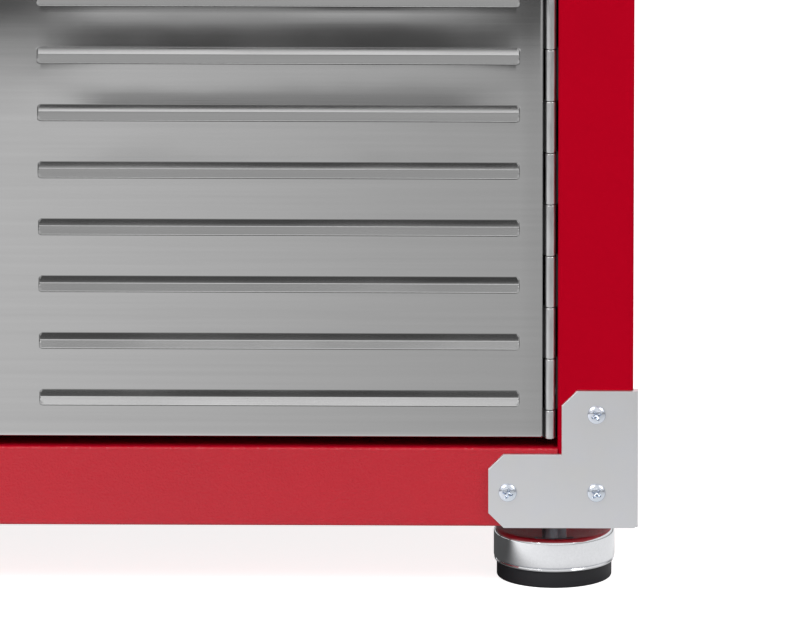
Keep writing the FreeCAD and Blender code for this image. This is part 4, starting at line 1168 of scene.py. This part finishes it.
@dataclass
class Studio:
    """The floor, the soft light and the camera of the photograph, in metres and degrees.

    The pool is the light on the paper that only mirrors see. It reaches as far in
    front of the doors as its name says, and the card is a softbox beyond it.
    """

    azimuth: float = 1.0
    elevation: float = 13.5
    roll: float = 0.05
    distance: float = 6.0
    lens: float = 550.2
    aim: tuple[float, float, float] = (0.2409, -0.2143, 0.1431)
    floor_size: float = 60.0
    floor_own_light: float = 0.86
    pool_reach: float = 1.27
    pool_light: float = 0.9
    pool_edge: float = 0.12
    shade_light: float = 0.08
    card_ahead: float = 2.0
    card_low: float = 0.24
    card_size: tuple[float, float] = (3.4, 0.2)
    card_light: float = 1.15
    surround_light: float = 0.3
    lamps: tuple[SoftLamp, ...] = (
        SoftLamp("key_lamp", (-2.2, -2.8, 3.4), 2.2, 125.0),
        SoftLamp("fill_lamp", (2.8, -2.0, 2.6), 2.0, 55.0),
        SoftLamp("back_lamp", (0.6, 3.4, 3.2), 2.4, 60.0),
    )

    def camera(self) -> None:
        """Place the camera: turned about the aim by azimuth and elevation, then rolled."""
        a, e, r = (math.radians(v) for v in (self.azimuth, self.elevation, self.roll))
        back = np.array([math.sin(a) * math.cos(e), -math.cos(a) * math.cos(e), math.sin(e)])
        right = np.array([math.cos(a), math.sin(a), 0.0])
        up = np.cross(back, right)
        data = bpy.data.cameras.new("camera")
        data.lens = self.lens
        data.sensor_width = 36.0
        data.clip_start = 0.1
        data.clip_end = 60.0
        camera = bpy.data.objects.new("camera", data)
        bpy.context.scene.collection.objects.link(camera)
        matrix = np.eye(4)
        matrix[:3, 0] = right * math.cos(r) - up * math.sin(r)
        matrix[:3, 1] = right * math.sin(r) + up * math.cos(r)
        matrix[:3, 2] = back
        matrix[:3, 3] = np.array(self.aim) + back * self.distance
        camera.matrix_world = Matrix(matrix.tolist())
        bpy.context.scene.camera = camera

    def pool(
        self, tree: bpy.types.NodeTree, across: bpy.types.NodeSocket, along: bpy.types.NodeSocket
    ) -> bpy.types.Node:
        """The light that mirrors see on the floor: a pool before the doors, brighter at the left.

        Args:
            tree: The floor material's tree.
            across: The place along X.
            along: The place along Y.

        Returns:
            The node that gives the pool's strength.
        """
        smooth = {"interpolation_type": "SMOOTHSTEP"}
        edge = -self.aim[1]
        front = add_node(tree, "ShaderNodeMath", {0: along, 1: -1.0}, operation="MULTIPLY")
        rim = (edge + self.pool_reach - 0.02, edge + self.pool_reach + 0.03)
        near = add_node(tree, "ShaderNodeMapRange", spread(front, rim, (1.0, self.pool_edge)), **smooth)
        lights = (1.3 * self.pool_light, self.pool_light)
        growth = spread(front, (edge + 0.02, edge + 0.3), lights)
        close = add_node(tree, "ShaderNodeMapRange", growth, **smooth)
        aside = add_node(tree, "ShaderNodeMapRange", spread(across, (-0.1, 0.42), (1.25, 0.8)), **smooth)
        pool = add_node(tree, "ShaderNodeMath", {0: near, 1: close}, operation="MULTIPLY")
        return add_node(tree, "ShaderNodeMath", {0: pool, 1: aside}, operation="MULTIPLY")

    def shade(
        self, tree: bpy.types.NodeTree, across: bpy.types.NodeSocket, along: bpy.types.NodeSocket
    ) -> bpy.types.Node:
        """How much of that light is left in the shade under the cabinet.

        Args:
            tree: The floor material's tree.
            across: The place along X.
            along: The place along Y.

        Returns:
            The node that gives the share, 1 away from the cabinet.
        """
        smooth = {"interpolation_type": "SMOOTHSTEP"}
        width = add_node(tree, "ShaderNodeMath", {0: across, 1: 0.0}, operation="ABSOLUTE")
        sides = add_node(tree, "ShaderNodeMapRange", spread(width, (0.32, 0.38), (1.0, 0.0)), **smooth)
        front = add_node(tree, "ShaderNodeMapRange", spread(along, (-0.245, -0.17), (0.0, 1.0)), **smooth)
        back = add_node(tree, "ShaderNodeMapRange", spread(along, (0.2, 0.26), (1.0, 0.0)), **smooth)
        depth = add_node(tree, "ShaderNodeMath", {0: front, 1: back}, operation="MULTIPLY")
        under = add_node(tree, "ShaderNodeMath", {0: sides, 1: depth}, operation="MULTIPLY")
        return add_node(
            tree, "ShaderNodeMapRange", spread(under, (0.0, 1.0), (1.0, self.shade_light)), **smooth
        )

    def floor(self) -> None:
        """Lay a pale paper floor, whose own light makes it white to the camera.

        Metal sees the pool of light on the paper, a dark stretch beyond it, and the
        shade under the cabinet.
        """
        half = self.floor_size / 2
        corners = np.array([[-half, -half, 0], [half, -half, 0], [half, half, 0], [-half, half, 0]]) / MM
        piece = mesh_object("floor", corners, np.array([[0, 1, 2, 3]]))
        material = bpy.data.materials.new("pale_paper_floor")
        material.use_nodes = True
        tree = material.node_tree
        tree.nodes.clear()
        where = add_node(tree, "ShaderNodeTexCoord").outputs["Object"]
        across, along = add_node(tree, "ShaderNodeSeparateXYZ", {0: where}).outputs[:2]
        path = add_node(tree, "ShaderNodeLightPath").outputs
        lit = {0: self.pool(tree, across, along), 1: self.shade(tree, across, along)}
        shown = add_node(tree, "ShaderNodeMath", lit, operation="MULTIPLY")
        mirror = add_node(tree, "ShaderNodeMath", {0: path["Is Glossy Ray"], 1: shown}, operation="MULTIPLY")
        rays = {0: path["Is Camera Ray"], 1: path["Is Transmission Ray"]}
        seen = add_node(tree, "ShaderNodeMath", rays, operation="MAXIMUM")
        white = add_node(tree, "ShaderNodeMath", {0: seen, 1: self.floor_own_light}, operation="MULTIPLY")
        own = add_node(tree, "ShaderNodeMath", {0: white, 1: mirror}, operation="ADD")
        glow = add_node(tree, "ShaderNodeEmission", {"Color": linear("#FFFFFF"), "Strength": own})
        paper = add_node(tree, "ShaderNodeBsdfDiffuse", {"Color": linear("#E8E8E8")})
        dark = add_node(tree, "ShaderNodeBsdfDiffuse", {"Color": linear("#000000")})
        body = add_node(tree, "ShaderNodeMixShader", {0: path["Is Glossy Ray"], 1: paper, 2: dark})
        both = add_node(tree, "ShaderNodeAddShader", {0: body, 1: glow})
        add_node(tree, "ShaderNodeOutputMaterial", {"Surface": both})
        piece.data.materials.append(material)

    def card(self) -> None:
        """Stand a wide soft light in front, whose lower edge the upper ribs mirror."""
        wide, tall = self.card_size
        data = bpy.data.lights.new("front_softbox", "AREA")
        data.shape = "RECTANGLE"
        data.size = wide
        data.size_y = tall
        data.energy = self.card_light * math.pi * wide * tall
        lamp = bpy.data.objects.new("front_softbox", data)
        bpy.context.scene.collection.objects.link(lamp)
        lamp.location = (0.0, self.aim[1] - self.card_ahead, self.card_low + tall / 2)
        lamp.rotation_euler = Vector((0, 1, 0)).to_track_quat("-Z", "Z").to_euler()
        lamp.visible_camera = False

    def world(self) -> None:
        """A white surround, which mirrors see shaded towards the horizon."""
        world = bpy.data.worlds.new("studio")
        bpy.context.scene.world = world
        world.use_nodes = True
        tree = world.node_tree
        tree.nodes.clear()
        path = add_node(tree, "ShaderNodeLightPath").outputs
        rays = {0: path["Is Camera Ray"], 1: path["Is Transmission Ray"]}
        seen = add_node(tree, "ShaderNodeMath", rays, operation="MAXIMUM")
        towards = add_node(tree, "ShaderNodeTexCoord").outputs["Generated"]
        rise = add_node(tree, "ShaderNodeSeparateXYZ", {0: towards}).outputs[2]
        grade = spread(rise, (0.04, 0.26), (0.11, 0.9))
        graded = add_node(tree, "ShaderNodeMapRange", grade, interpolation_type="SMOOTHSTEP")
        mirror = add_node(tree, "ShaderNodeMath", {0: path["Is Glossy Ray"], 1: graded}, operation="MULTIPLY")
        white = add_node(tree, "ShaderNodeMath", {0: seen, 1: mirror}, operation="MAXIMUM")
        strength = add_node(tree, "ShaderNodeMath", {0: white, 1: self.surround_light}, operation="MAXIMUM")
        sky = add_node(tree, "ShaderNodeBackground", {"Color": linear("#FFFFFF"), "Strength": strength})
        add_node(tree, "ShaderNodeOutputWorld", {"Surface": sky})

    def build(self) -> None:
        """Set up the floor, the surround, the lamps and the camera."""
        self.floor()
        self.world()
        self.card()
        for lamp in self.lamps:
            lamp.hang()
            LOG.info("%s hangs at %s", lamp.name, lamp.where)
        self.camera()
        bpy.context.scene.view_settings.view_transform = "Standard"


def main() -> None:
    """Build the cabinet's looks in order."""
    logging.basicConfig(level=logging.INFO, format="%(message)s")
    Studio().build()
    Case().build()
    BracketScrews().build()
    for side in ("right", "left"):
        Door(side).build()
        for part in ("frame", "door"):
            HingeLeaf(side, part).build()
    Locks().build()
    for corner in ("front_left", "front_right", "rear_left", "rear_right"):
        LevellingFoot(corner).build()


if __name__ == "__main__":
    main()
